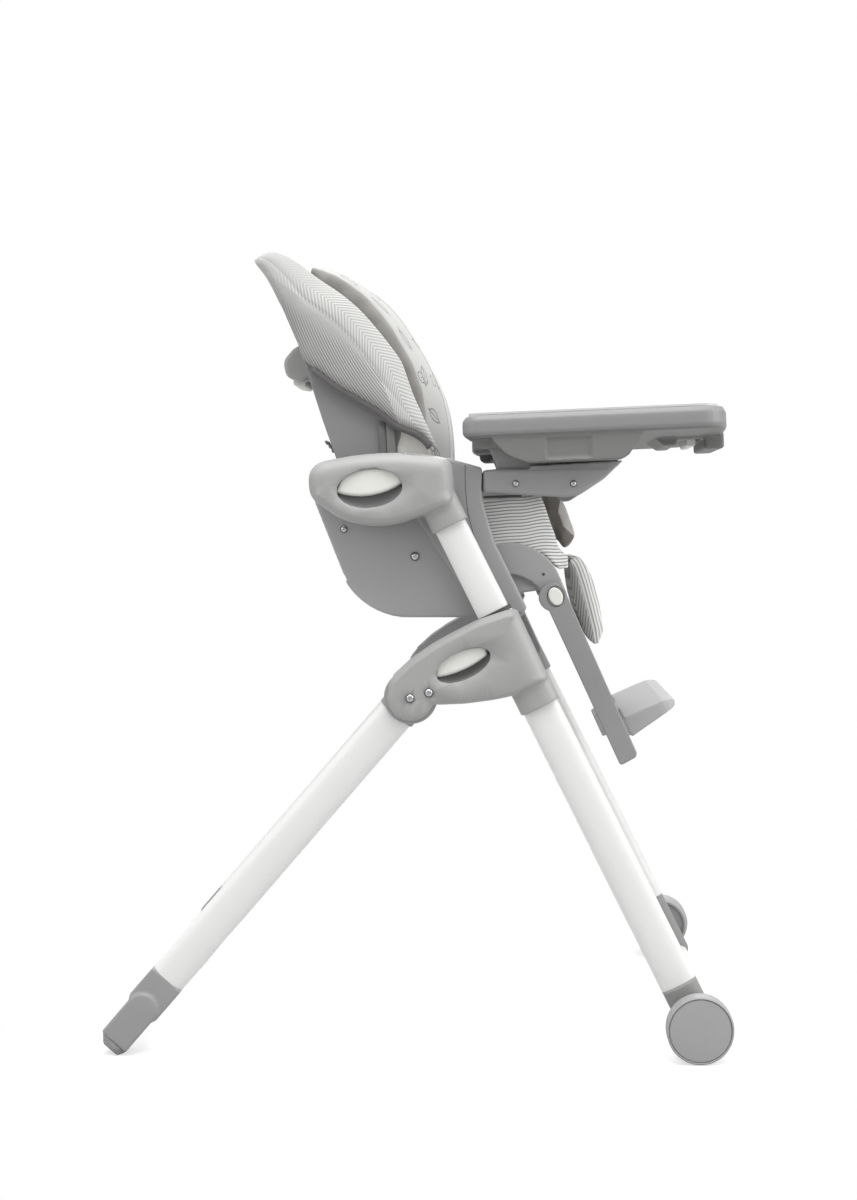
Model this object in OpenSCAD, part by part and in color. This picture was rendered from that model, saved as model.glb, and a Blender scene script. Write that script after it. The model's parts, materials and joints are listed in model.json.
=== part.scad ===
// Folding baby high chair with telescopic front legs, reclining back, sliding tray and footrest.
// Millimetres. +X is the way the child faces, +Y the child's left, +Z up.
// The origin lies on the floor, at the middle of the chair's length and width.

/* [Frame] */
// Distance from the centre plane to the middle of each leg
leg_y = 235; // [232:1:238]
// Distance of the wheel axles in front of the origin
axle_x = 354; // [350:1:358]
// Lean of the front legs from upright, in degrees
front_lean = 26.5; // [26:0.5:27]
// Lean of the rear legs from upright, in degrees
rear_lean = 40.8; // [40.4:0.2:41.2]
// Distance of the fold pivot in front of the origin
pivot_x = -15; // [-17:1:-13]
// Height of the fold pivot
pivot_z = 462; // [460:1:464]

/* [Tubes] */
// Wide side of the oval leg tubes
tube_w = 48; // [47:0.5:49]
// Narrow side of the oval leg tubes
tube_t = 27; // [26:0.5:28]
// Wall of every tube
tube_wall = 1.5; // [1.2:0.1:1.8]
// Wide side of the telescopic seat tubes
inner_w = 42.6; // [42:0.1:43]
// Narrow side of the telescopic seat tubes
inner_t = 21.6; // [21:0.1:22]
// Travel of the seat down the front legs
height_travel = 120; // [100:20:120]
// Spacing of the height stops
height_step = 20; // [15:5:30]

/* [Wheels and feet] */
// Radius of the wheels
wheel_r = 43; // [42.5:0.5:43]
// Outer face of each wheel, from the centre plane
wheel_face_y = 287.5; // [286:0.5:289]
// Radius of the wheel axles
axle_r = 5; // [4:0.5:6]
// Radial clearance of a pivot or an axle
running_gap = 0.05; // [0.02:0.01:0.1]

/* [Hub] */
// Outer face of the hub covers, from the centre plane
cover_y = 264; // [263:0.5:265]
// Inner face of the hub covers, from the centre plane
hub_inner_y = 206; // [205.5:0.5:207]
// Radius of the knuckle on the rear leg
knuckle_r = 34.5; // [34:0.5:35]
// Rounding along the outer edges of the covers
cover_edge = 8; // [6:1:9]
// Wall of the moulded covers
cover_wall = 3; // [2.5:0.5:3.5]

/* [Seat] */
// Outer face of the seat's side panels, from the centre plane
panel_y = 195; // [194:0.5:195]
// Wall of the seat mouldings
shell_wall = 4; // [3.5:0.5:4.5]
// Height of the seat pan
pan_z = 640; // [638:1:642]
// Half the width of the seat pad
pad_y = 165; // [160:1:165]
// Outer face of the back shell, from the centre plane
back_y = 184; // [183:0.5:185]

/* [Tray] */
// Half the width of the tray
tray_y = 246; // [244:1:248]
// Length of the tray at its sides
tray_l = 340; // [336:1:344]
// Tilt of the tray, front edge up, in degrees
tray_tilt = 2.5; // [2:0.5:3]
// Height of the tray's rim
tray_rim = 30; // [28:1:31]

/* [Footrest] */
// Distance of the footrest pivot in front of the origin
foot_x = 173; // [172:0.5:174]
// Height of the footrest pivot
foot_z = 589; // [588:0.5:590]
// Lean of the footrest arms from upright, in degrees
foot_lean = 24.5; // [24:0.5:25]
// Length of the footrest arms below their pivot
foot_l = 240; // [236:1:244]

/* [Hidden] */

LEFT = 1;
RIGHT = -1;
plastic = [0.60, 0.60, 0.60];
dark_plastic = [0.47, 0.47, 0.47];
white_paint = [0.94, 0.94, 0.94];
white_plastic = [0.93, 0.93, 0.90];
steel = [0.80, 0.80, 0.82];
rubber = [0.55, 0.55, 0.54];
striped_cloth = [0.80, 0.80, 0.79];
pale_cloth = [0.88, 0.88, 0.87];
taupe_cloth = [0.55, 0.54, 0.52];
webbing = [0.45, 0.45, 0.45];

// Steps along the front leg, measured up from the axle
shoe_top = 52;
hub_low = 453;
hub_high = 590;
leg_top = 584;
tube_foot = 354;
tube_head = 772;
collar_low = 714;
// Steps along the rear leg, measured down from the fold pivot
socket_pocket = 13;
socket_end = 31;
foot_top = 482;
foot_step = 531;
pad_top = 586;
pad_end = 602;

inside_w = tube_w - 2 * tube_wall;
inside_t = tube_t - 2 * tube_wall;
slide_gap = 0.3;
knuckle_half = 19.2;
fit_gap = 0.05;
wheel_in_y = leg_y + 20.5;
cap_t = 3.7;
shoe_half = 18.5;
bracket_y = 204.5;
pivot_pin_r = 4;
lever_in_y = leg_y + 12.5;
lever_out_y = leg_y + 23.5;
tray_x = 50;
tray_z = 795;
recline_x = -13;
recline_z = 642;
foot_pin_r = 6;

// Outlines lie in the side view: [x, z], or [x, z, corner radius].

function unit(v) = v / norm(v);
function flat2(p) = [p[0], p[1]];
function turn(p, a) = [p[0] * cos(a) - p[1] * sin(a), p[0] * sin(a) + p[1] * cos(a)];

// Rounds corner b between its neighbours a and c
function fillet(a, b, c) =
    let (r = len(b) > 2 ? b[2] : 0)
    r <= 0 ? [flat2(b)] :
    let (
        u = unit(flat2(a) - flat2(b)),
        v = unit(flat2(c) - flat2(b)),
        half = acos(max(-1, min(1, u * v))) / 2,
        reach = r / tan(half),
        centre = flat2(b) + unit(u + v) * r / sin(half),
        start = flat2(b) + u * reach - centre,
        end = flat2(b) + v * reach - centre,
        a0 = atan2(start[1], start[0]),
        a1 = atan2(end[1], end[0]),
        sweep = (a1 - a0 + 540) % 360 - 180,
        steps = max(2, ceil(abs(sweep) / 15))
    )
    [for (i = [0:steps]) centre + r * [cos(a0 + sweep * i / steps), sin(a0 + sweep * i / steps)]];

function rounded(pts) =
    let (n = len(pts))
    [for (i = [0:n - 1]) each fillet(pts[(i + n - 1) % n], pts[i], pts[(i + 1) % n])];

// Points on the circle that runs from a through b to c
function arc3(a, b, c, steps = 8) =
    let (
        d = 2 * (a[0] * (b[1] - c[1]) + b[0] * (c[1] - a[1]) + c[0] * (a[1] - b[1])),
        ux = ((a * a) * (b[1] - c[1]) + (b * b) * (c[1] - a[1]) + (c * c) * (a[1] - b[1])) / d,
        uz = ((a * a) * (c[0] - b[0]) + (b * b) * (a[0] - c[0]) + (c * c) * (b[0] - a[0])) / d,
        centre = [ux, uz],
        a0 = atan2(a[1] - uz, a[0] - ux),
        to_b = (atan2(b[1] - uz, b[0] - ux) - a0 + 720) % 360,
        to_c = (atan2(c[1] - uz, c[0] - ux) - a0 + 720) % 360,
        sweep = to_b < to_c ? to_c : to_c - 360,
        r = norm(a - centre)
    )
    [for (i = [0:steps]) centre + r * [cos(a0 + sweep * i / steps), sin(a0 + sweep * i / steps)]];

function signed_power(v, e) = sign(v) * pow(abs(v), e);

// Oval section, a little squarer than an ellipse
function oval(w, t, steps = 40) =
    [for (i = [0:steps - 1]) let (a = 360 * i / steps)
        [w / 2 * signed_power(cos(a), 0.8), t / 2 * signed_power(sin(a), 0.8)]];

function ellipse(w, h, tilt, centre, steps = 40) =
    [for (i = [0:steps - 1]) let (a = 360 * i / steps) centre + turn([w / 2 * cos(a), h / 2 * sin(a)], tilt)];

function area(p) = let (n = len(p))
    [for (i = [0:n - 1]) p[i][0] * p[(i + 1) % n][1] - p[(i + 1) % n][0] * p[i][1]] * [for (i = [1:n]) 0.5];

// Moves a closed outline inwards by d
function inset(p, d) =
    let (n = len(p), way = sign(area(p)))
    [for (i = [0:n - 1])
        let (
            e1 = unit(p[i] - p[(i + n - 1) % n]),
            e2 = unit(p[(i + 1) % n] - p[i]),
            m = unit([-e1[1] - e2[1], e1[0] + e2[0]])
        )
        p[i] + way * d * m / max(0.6, m * [-e1[1], e1[0]])];

// Closed outline of a sheet of thickness t along an open path; the path is its left face
function strip(path, t) =
    let (n = len(path))
    concat(path, [for (k = [0:n - 1]) let (
        i = n - 1 - k,
        e = unit(path[min(i + 1, n - 1)] - path[max(i - 1, 0)])
    ) path[i] + t * [e[1], -e[0]]]);

// Outline in the side view, solid from y0 to y1
module slab(outline, y0, y1) {
    translate([0, y1, 0]) rotate([90, 0, 0]) linear_extrude(height = y1 - y0) polygon(outline);
}

// Slab whose outer edge is rounded over; the outline is convex
module crowned(outline, y0, y1, edge) {
    hull() {
        slab(outline, y0, y1 - edge);
        slab(inset(outline, 0.3 * edge), y0, y1 - 0.3 * edge);
        slab(inset(outline, edge), y0, y1);
    }
}

// Pin or bore along Y
module pin(x, z, r, y0, y1) {
    translate([x, y0, z]) rotate([-90, 0, 0]) cylinder(r = r, h = y1 - y0, $fn = 48);
}

module on_side(side) {
    mirror([0, side == RIGHT ? 1 : 0, 0]) children();
}

module on_both_sides() {
    on_side(LEFT) children();
    on_side(RIGHT) children();
}

// Axes of a front leg: z up the leg from the axle, x to its front
module front_leg_axes() {
    translate([axle_x, 0, 43]) rotate([0, -front_lean, 0]) children();
}

// Axes of a rear leg: z up the leg, with the fold pivot at 0
module rear_leg_axes() {
    translate([pivot_x, 0, pivot_z]) rotate([0, rear_lean, 0]) children();
}

// Axes of the footrest: z up its arms, with their pivot at 0
module footrest_axes() {
    translate([foot_x, 0, foot_z]) rotate([0, -foot_lean, 0]) children();
}

// Axes of the tray: x along its floor from the rear rim, z square to it
module tray_axes() {
    translate([tray_x, 0, tray_z]) rotate([0, -tray_tilt, 0]) children();
}

// Oval bar along the z of the current axes
module bar(w, t, z0, z1) {
    translate([0, leg_y, z0]) linear_extrude(height = z1 - z0) polygon(oval(w, t));
}

module tube(w, t, z0, z1) {
    difference() {
        bar(w, t, z0, z1);
        bar(w - 2 * tube_wall, t - 2 * tube_wall, z0 - 1, z1 + 1);
    }
}

// ---- Front frame ----

// Outer tube, with the row of height stops in its rear edge
module front_leg(side) {
    color(white_paint) on_side(side) front_leg_axes() difference() {
        tube(tube_w, tube_t, shoe_top, leg_top);
        for (k = [0:height_travel / height_step])
            translate([-tube_w, leg_y, tube_foot + 30 - k * height_step])
                rotate([0, 90, 0]) cylinder(r = 4, h = tube_w, $fn = 32);
    }
}

// Glide in the mouth of each outer tube, which the seat tube runs through
module front_leg_bushes() {
    color(dark_plastic) on_both_sides() front_leg_axes() difference() {
        union() {
            bar(inside_w - 2 * fit_gap, inside_t - 2 * fit_gap, leg_top - 40, leg_top);
            bar(tube_w, tube_t, leg_top, hub_high);
        }
        bar(inner_w + 2 * slide_gap, inner_t + 2 * slide_gap, leg_top - 41, hub_high + 1);
    }
}

function crossbar_section() = [for (p = oval(44, 17)) p + [axle_x + 14, 13]];

module front_crossbar() {
    half = leg_y - shoe_half;
    color(white_paint) difference() {
        slab(crossbar_section(), -half, half);
        slab(inset(crossbar_section(), tube_wall), -half - 1, half + 1);
    }
}

// Moulded shoe: a spigot up the leg, a plug in the crossbar and the axle's seat
module front_shoe(side) {
    sole = rounded([
        [axle_x - 44.7, 78.8], [axle_x - 1.7, 100.2], [axle_x + 41.5, 14, 10],
        [axle_x + 36, 5, 8], [axle_x - 11, 5, 12]
    ]);
    color(plastic) on_side(side) difference() {
        union() {
            intersection() {
                slab(sole, leg_y - shoe_half, leg_y + shoe_half);
                front_leg_axes() bar(tube_w, 2 * shoe_half, -60, shoe_top);
            }
            front_leg_axes() bar(inside_w - 2 * fit_gap, inside_t - 2 * fit_gap, shoe_top - 1, shoe_top + 48);
            slab(inset(crossbar_section(), tube_wall + fit_gap),
                 leg_y - shoe_half - 25, leg_y - shoe_half + 2);
        }
        pin(axle_x, wheel_r, axle_r, leg_y - 10, leg_y + 30);
        front_leg_axes() bar(inside_w - 8, inside_t - 8, shoe_top + 10, shoe_top + 60);
    }
}

// Steel pin with a thrust collar between the shoe and the wheel
module wheel_axles() {
    color(steel) on_both_sides() {
        pin(axle_x, wheel_r, axle_r, leg_y - 10, wheel_face_y - 4);
        pin(axle_x, wheel_r, axle_r + 3, leg_y + shoe_half, wheel_in_y - 0.2);
    }
}

// ---- Wheels ----

// Solid wheel, dished inside and with a seat for the face disc outside
function wheel_section() = rounded([
    [axle_r + running_gap, wheel_in_y], [12, wheel_in_y], [13, wheel_in_y + 3, 1],
    [wheel_r - 9, wheel_in_y + 3, 1], [wheel_r - 7.5, wheel_in_y + 0.6], [wheel_r - 4.5, wheel_in_y + 0.6, 1],
    [wheel_r, wheel_in_y + 12, 8], [wheel_r, wheel_face_y - 1.2, 2], [wheel_r - 2.4, wheel_face_y + 0.2, 0.6],
    [wheel_r - 3, wheel_face_y - 2], [wheel_r - 3.2, wheel_face_y - cap_t],
    [axle_r + running_gap, wheel_face_y - cap_t]
]);

module wheel(side) {
    color(plastic) on_side(side) translate([axle_x, 0, wheel_r]) rotate([-90, 0, 0])
        rotate_extrude($fn = 96) polygon(wheel_section());
}

// Face disc that snaps over the axle's end
module wheel_cap(side) {
    rim = wheel_r - 3.4;
    color(plastic) on_side(side) translate([axle_x, 0, wheel_r]) rotate([-90, 0, 0]) rotate_extrude($fn = 96)
        polygon([[0, wheel_face_y - cap_t], [rim, wheel_face_y - cap_t], [rim, wheel_face_y - 1.6],
                 [rim - 1, wheel_face_y - 0.7], [20, wheel_face_y - 0.1], [0, wheel_face_y]]);
}

// ---- Hub, where the rear leg folds ----

function at_pivot(pts) = [for (p = pts) concat([pivot_x + p[0], pivot_z + p[1]], len(p) > 2 ? [p[2]] : [])];

// Blade of the hub, which ends inside a round end about the fold pivot
function hub_outline() = rounded(at_pivot([
    [-31, -2, 8], [-28.5, 19.5, 20], [-22.5, 29, 20], [-13, 37, 20], [0.5, 50, 30], [26, 67.5, 60],
    [49, 80.5, 80], [87, 100, 80], [128.5, 113.7, 20], [137, 112, 6], [178, 24, 6], [129, 1, 20],
    [106, -3.8, 40], [70, -8.5, 40], [36, -10, 20], [0, -11], [-20, -11.2, 6]
]));

function hub_end() = ellipse(63, 63, 0, [pivot_x, pivot_z], 48);

function hub_cavity() = rounded(at_pivot([
    [14, 40, 8], [38, 66, 20], [84, 90, 6], [123.5, 12, 5], [80, 2, 20], [30, 2, 8]
]));

function hub_window() = ellipse(75, 36, 25, [pivot_x + 68, pivot_z + 42]);

// Space that the rear leg sweeps between its open and folded places
function swing_outline() =
    let (
        p = [pivot_x, pivot_z],
        back = [-sin(rear_lean), -cos(rear_lean)],
        front = [sin(front_lean), -cos(front_lean)],
        half = tube_w / 2 + 3.4
    )
    [p + half * [-cos(rear_lean), sin(rear_lean)],
     p + half * [-cos(rear_lean), sin(rear_lean)] + 120 * back,
     p + half * [cos(front_lean), sin(front_lean)] + 120 * front,
     p + half * [cos(front_lean), sin(front_lean)]];

module hub_cuts() {
    gap = 0.8;
    half = knuckle_half + gap;
    front_leg_axes() bar(tube_w + 2 * fit_gap, tube_t + 2 * fit_gap, hub_low - 10, hub_high + 20);
    pin(pivot_x, pivot_z, knuckle_r + 1, leg_y - half, leg_y + half);
    slab(swing_outline(), leg_y - half, leg_y + half);
    pin(pivot_x, pivot_z, pivot_pin_r + fit_gap, 150, 300);
    pin(pivot_x + 24, pivot_z + 7, 2.5, cover_y - 8, 300);
}

// Outer cover, with the window that the fold lever is pulled through
module hub_outer(side) {
    color(plastic) on_side(side) difference() {
        union() {
            crowned(hub_outline(), leg_y, cover_y, cover_edge);
            crowned(hub_end(), leg_y, cover_y, cover_edge);
            front_leg_axes() intersection() {
                bar(tube_w + 6.5, tube_t + 16, hub_low, hub_high - 40);
                translate([-60, leg_y, 0]) cube([120, 60, 700]);
            }
        }
        slab(hub_cavity(), leg_y - 1, cover_y - cover_wall);
        slab(hub_window(), leg_y, cover_y + 1);
        hub_cuts();
    }
}

module hub_inner(side) {
    color(plastic) on_side(side) difference() {
        union() {
            slab(inset(hub_outline(), 1), hub_inner_y, leg_y);
            slab(inset(hub_end(), 1), hub_inner_y, leg_y);
            front_leg_axes() intersection() {
                bar(tube_w + 6.5, tube_t + 16, hub_low, hub_high - 40);
                translate([-60, hub_inner_y, 0]) cube([120, leg_y - hub_inner_y, 700]);
            }
        }
        slab(inset(hub_cavity(), 1), hub_inner_y + cover_wall, leg_y + 1);
        hub_cuts();
    }
}

// Bolt on which each rear leg folds
module fold_pivots() {
    color(steel) on_both_sides() {
        pin(pivot_x, pivot_z, pivot_pin_r, hub_inner_y + 0.5, cover_y - 1);
        pin(pivot_x, pivot_z, 5.6, cover_y, cover_y + 1.6);
        pin(pivot_x, pivot_z, pivot_pin_r, cover_y - 1.5, cover_y + 0.5);
    }
}

// Screw that fixes the outer cover over each knuckle
module hub_screws() {
    color(steel) on_both_sides() {
        pin(pivot_x + 24, pivot_z + 7, 2.4, cover_y - 7.5, cover_y + 0.5);
        pin(pivot_x + 24, pivot_z + 7, 5, cover_y, cover_y + 1.6);
    }
}

function fold_lever_outline() = rounded(concat(
    arc3([pivot_x + 30, pivot_z + 24.5], [pivot_x + 63, pivot_z + 33], [pivot_x + 99, pivot_z + 54.5]),
    [[pivot_x + 96, pivot_z + 66, 5]],
    arc3([pivot_x + 88, pivot_z + 67.5], [pivot_x + 61, pivot_z + 62], [pivot_x + 32, pivot_z + 44])
));

// White pull plate behind the hub's window
module fold_lever(side) {
    color(white_plastic) on_side(side) crowned(fold_lever_outline(), lever_in_y, lever_out_y, 4);
}

// ---- Rear frame ----

module rear_leg(side) {
    color(white_paint) on_side(side) rear_leg_axes() tube(tube_w, tube_t, -foot_top, -socket_pocket);
}

// Knuckle that turns in the hub, with the sleeve that holds the leg
module rear_socket(side) {
    color(plastic) on_side(side) difference() {
        union() {
            pin(pivot_x, pivot_z, knuckle_r, leg_y - knuckle_half, leg_y + knuckle_half);
            rear_leg_axes() bar(tube_w + 5, tube_t + 6, -socket_end, 0);
        }
        rear_leg_axes() bar(tube_w + 2 * fit_gap, tube_t + 2 * fit_gap, -socket_end - 20, -socket_pocket);
        pin(pivot_x, pivot_z, pivot_pin_r + running_gap, 150, 300);
    }
}

function rear_bar_section() =
    [for (p = oval(36, 20))
        [pivot_x, pivot_z] + turn([p[0], -553 + p[1]], -rear_lean)];

module rear_crossbar() {
    half = leg_y - tube_t / 2 - 4;
    color(white_paint) difference() {
        slab(rear_bar_section(), -half, half);
        slab(inset(rear_bar_section(), tube_wall), -half - 1, half + 1);
    }
}

function foot_outline() = rounded([
    [-tube_w / 2, -foot_top], [-tube_w / 2, -foot_step + 4, 5], [-20, -foot_step - 3, 5], [-20, -pad_top],
    [21, -pad_top], [21, -foot_step - 6, 5], [tube_w / 2, -foot_step, 5], [tube_w / 2, -foot_top]
]);

function boss_outline() = concat([[21, -pad_top], [-20, -pad_top]],
    arc3([-20, -foot_step], [0.5, -foot_step + 20.5], [21, -foot_step]));

// Moulded foot: a spigot up the leg, a raised boss outside and a plug for the crossbar inside
module rear_foot(side) {
    half = tube_t / 2;
    color(plastic) on_side(side) {
        difference() {
            rear_leg_axes() union() {
                slab(foot_outline(), leg_y - half - 4, leg_y + half);
                slab(boss_outline(), leg_y + half - 1, leg_y + half + 4);
                bar(inside_w - 2 * fit_gap, inside_t - 2 * fit_gap, -foot_top - 1, -foot_top + 42);
            }
            rear_leg_axes() bar(inside_w - 8, inside_t - 8, -foot_top + 6, -foot_top + 50);
        }
        slab(inset(rear_bar_section(), tube_wall + fit_gap), leg_y - half - 29, leg_y - half - 2);
    }
}

// Soft tips, rounded outside and flat where they stand on the floor
module rear_foot_pads() {
    half = tube_t / 2;
    tip = rounded([
        [-20, -pad_top + 40], [-19.5, -pad_end + 12.5, 6], [-8.5, -pad_end, 7], [21, -pad_end, 8],
        [21, -pad_top + 40]
    ]);
    color(rubber) on_both_sides() intersection() {
        rear_leg_axes() difference() {
            crowned(tip, leg_y - half - 4, leg_y + half + 3, 15);
            translate([-40, 150, -pad_top]) cube([80, 150, 60]);
        }
        translate([-500, 100, 0]) cube([200, 200, 100]);
    }
}

// ---- Seat carriage ----

module seat_tube(side) {
    color(white_paint) on_side(side) front_leg_axes() tube(inner_w, inner_t, tube_foot, tube_head - 22);
}

// Sleeves on the lower ends of the seat tubes
module seat_tube_glides() {
    color(dark_plastic) on_both_sides() front_leg_axes() difference() {
        union() {
            bar(inside_w - 2 * slide_gap, inside_t - 2 * slide_gap, tube_foot - 6, tube_foot);
            bar(inner_w - 2 * (tube_wall + fit_gap), inner_t - 2 * (tube_wall + fit_gap),
                tube_foot, tube_foot + 20);
        }
        bar(inner_w - 14, inner_t - 10, tube_foot - 7, tube_foot + 21);
    }
}

function carriage_outline() = rounded(concat(
    [[-148.5, 761.5, 24]],
    arc3([-112, 769], [-50, 776.3], [5, 773.5]),
    [[36, 770, 18], [39.5, 740, 10], [38, 711, 12]],
    arc3([-12, 691], [-58, 682], [-110, 693.5]),
    [[-146, 719, 26]]
));

function carriage_cavity() = rounded([
    [-138, 735, 12], [-124, 756, 10], [-50, 772.5, 60], [-38, 772.5, 3],
    [-2, 698, 4], [-62, 685, 60], [-118, 704, 20]
]);

function carriage_window() = ellipse(84, 49, 6, [-67, 730]);

module carriage_bore() {
    front_leg_axes() bar(inner_w + 2 * fit_gap, inner_t + 2 * fit_gap, collar_low - 10, tube_head - 22);
}

// Outer half of the carriage, with the window of the height lever
module carriage_outer(side) {
    color(plastic) on_side(side) difference() {
        union() {
            crowned(carriage_outline(), leg_y, cover_y, cover_edge + 2);
            front_leg_axes() intersection() {
                bar(tube_w + 2, tube_t + 9, collar_low, tube_head - 10);
                translate([-60, leg_y, 0]) cube([120, 60, 900]);
            }
        }
        slab(carriage_cavity(), leg_y - 1, cover_y - cover_wall);
        slab(carriage_window(), leg_y, cover_y + 1);
        carriage_bore();
    }
}

function bracket_outline() = rounded([
    [128, 567, 6], [135, 574, 4], [92, 661, 60], [74.5, 722, 60], [76, 759, 4], [30, 772, 20], [-60, 772, 20],
    [-60, 700, 10], [-16, 700, 20], [72, 567, 4]
]);

// Inner half of the carriage, with the long bracket that the seat shell is screwed to
module carriage_inner(side) {
    color(plastic) on_side(side) difference() {
        union() {
            slab(inset(carriage_outline(), 1.5), bracket_y, leg_y);
            slab(bracket_outline(), panel_y + 0.5, bracket_y + 1);
            front_leg_axes() intersection() {
                bar(tube_w + 2, tube_t + 9, collar_low, tube_head - 10);
                translate([-60, bracket_y, 0]) cube([120, leg_y - bracket_y, 900]);
            }
        }
        slab(inset(carriage_cavity(), 1), bracket_y + cover_wall, leg_y + 1);
        carriage_bore();
    }
}

function height_lever_outline() = rounded(concat(
    arc3([-112, 725], [-67, 721], [-24, 738]),
    [[-29, 750, 5]],
    arc3([-36, 755], [-66, 758], [-104, 746])
));

module height_lever(side) {
    color(white_plastic) on_side(side) crowned(height_lever_outline(), lever_in_y, lever_out_y, 4);
}

// ---- Seat ----

function panel_outline() = rounded([
    [-128, 760, 14], [-149, 722, 20], [-85, 561.5, 95], [128, 561.5, 6], [134, 573, 5],
    [92, 660, 60], [74, 722, 40], [75, 758, 4], [30, 770, 20]
]);

// Underside of the seat, from behind to the front lip, as an open path
function seat_floor_path() = concat(arc3([-102, 611], [-76, 583], [-30, 565.5]), [[108, 565.5]]);

function seat_lip_path() = concat([[100, 565.5]], arc3([108, 566.5], [118, 574], [122, 590]),
    [[128, 597], [150, 600], [158, 612], [160, pan_z]]);

// Wall that closes the front of the casing at each end
function front_wall_outline() = concat([[96, 562]], [for (i = [2:10]) seat_lip_path()[i] + [2, -1]],
    [[128, 595], [150, 598], [158, 610], [162, pan_z - 1], [96, pan_z - 1]]);

// Front arm that carries the footrest
function seat_arm_outline() = concat(
    [[40, 640], [76, 655]],
    arc3([96, 659], [140, 654.5], [foot_x + 7.5, foot_z + 22]),
    arc3([foot_x + 14, foot_z + 6], [foot_x + 6, foot_z - 14], [foot_x - 12, foot_z - 9], 6),
    arc3([foot_x - 21, foot_z + 9], [129, 614], [104, 617]),
    [[40, 617]]
);

// Bucket of the seat: side panels, floor, pan, front lip and the footrest's arms
module seat_shell() {
    color(plastic) difference() {
        union() {
            on_both_sides() {
                slab(panel_outline(), panel_y - shell_wall, panel_y);
                slab(seat_arm_outline(), pad_y + 1, pad_y + 11);
                slab(front_wall_outline(), pad_y + 1.5, pad_y + 5);
            }
            slab(strip(seat_floor_path(), shell_wall), -panel_y + 1, panel_y - 1);
            slab(strip(seat_lip_path(), shell_wall), -pad_y - 6, pad_y + 6);
            slab([[-100, 607], [-103, 610], [-80, pan_z], [98, pan_z], [98, pan_z - shell_wall],
                  [-78, pan_z - shell_wall]], -panel_y + 1, panel_y - 1);
            slab([[95, pan_z - 0.5], [95, pan_z - shell_wall + 0.5], [161, pan_z - shell_wall + 0.5],
                  [161, pan_z - 0.5]], -pad_y - 6, pad_y + 6);
            // Ribs under the pan
            for (y = [-90, 0, 90])
                slab([[-20, pan_z - 2], [-20, pan_z - 22], [60, pan_z - 34], [150, pan_z - 22],
                      [150, pan_z - 2]], y - 1.5, y + 1.5);
        }
        on_both_sides() {
            pin(recline_x, recline_z, pivot_pin_r + fit_gap, 150, 200);
            // Slot in the pan for the lug of the back
            slab([[-74, pan_z - 10], [-74, pan_z + 10], [20, pan_z + 10], [20, pan_z - 10]],
                 back_y - 7, back_y + 3);
            pin(foot_x, foot_z, foot_pin_r + running_gap, 150, 200);
            pin(foot_x - 16, foot_z + 22, 1.6, 150, 200);
        }
    }
}

// Screws of the seat shell and of the armrests
module seat_screws() {
    color(steel) on_both_sides() {
        pin(-107, 678, 5, panel_y, panel_y + 1.6);
        for (p = [[120, 738], [196, 738]])
            pin(p[0], p[1], 5, bracket_y, bracket_y + 1.4);
    }
}

// Pins on which the back reclines
module recline_pivots() {
    color(steel) on_both_sides() {
        pin(recline_x, recline_z, pivot_pin_r, back_y - 8, panel_y + 0.5);
        pin(recline_x, recline_z, 6, panel_y, panel_y + 1.6);
    }
}

// Armrest: the bar screwed to the seat and the T-shaped rail above it that the tray slides on
module armrest(side) {
    web = rounded([[97, 755], [256, 762], [247, 797, 14], [81, 793, 6]]);
    lower = rounded([
        [76.6, 756, 3], [76.6, 726, 3], [150, 724], [183, 720.5, 30], [204, 723, 14], [236, 744, 40],
        [250, 757.6, 2], [96, 757.6, 4]
    ]);
    color(plastic) on_side(side) difference() {
        union() {
            crowned(lower, 176, bracket_y, 5);
            slab([[138, 752], [138.5, 761.5], [262, 769], [244, 752]], 178, bracket_y - 1);
            slab(web, 180, 194);
            tray_axes() slab([[58, -6.5], [200, -6.5], [200, -0.4], [58, -0.4]], 180, 203);
            slab([[40, 728], [40, 752], [90, 752], [90, 728]], 176, panel_y - shell_wall);
        }
        // Notches that the tray's catch drops into
        for (x = [80, 105, 130]) tray_axes() translate([x, 170, 0.5]) rotate([0, 45, 0])
            translate([-3.5, 0, -3.5]) cube([7, 30, 7]);
    }
}

// Padded seat: base cushion rolled over the front edge, and thigh bolsters
module seat_pad() {
    base = rounded([
        [-25, pan_z + 1, 4], [-25, pan_z + 32, 10], [140, pan_z + 34, 30], [182, 655, 10], [190, 643, 6],
        [177, 624, 6], [166, 630, 6], [166, pan_z + 1, 2]
    ]);
    bolster = rounded([
        [30, pan_z + 30], [30, 712, 14], [75, 719, 20], [152, 721, 12], [165, 682, 30], [174, pan_z + 18, 8],
        [166, pan_z + 6]
    ]);
    color(striped_cloth) {
        slab(base, -pad_y, pad_y);
        on_both_sides() slab(bolster, pad_y - 26, pad_y);
    }
}

// Padded sleeve on the crotch strap
module crotch_pad() {
    shape = rounded([
        [150, pan_z + 34.3], [184, 665, 4], [194, 655, 4], [204, 667, 5], [190, 711, 10], [179, 727, 6],
        [156, 727, 12]
    ]);
    color(taupe_cloth) slab(shape, -32, 32);
}

module harness_buckle() {
    color(dark_plastic) translate([70, 0, pan_z + 34.2])
        slab(rounded([[-22, 0], [22, 0], [22, 12, 4], [-22, 12, 4]]), -20, 20);
}

// ---- Back ----

function back_rear() = [
    [-88, 684], [-118, 770], [-136.5, 822], [-153, 873], [-166, 916], [-186, 962], [-207, 1006], [-217, 1034]
];

function cushion_support() = concat([for (p = cushion_rear()) if (p[1] < 1036 && p[1] > 762) p + [-4.4, -2]],
    [[-26.4, 704], [-30, 700], [-86, 690]]);

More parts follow.
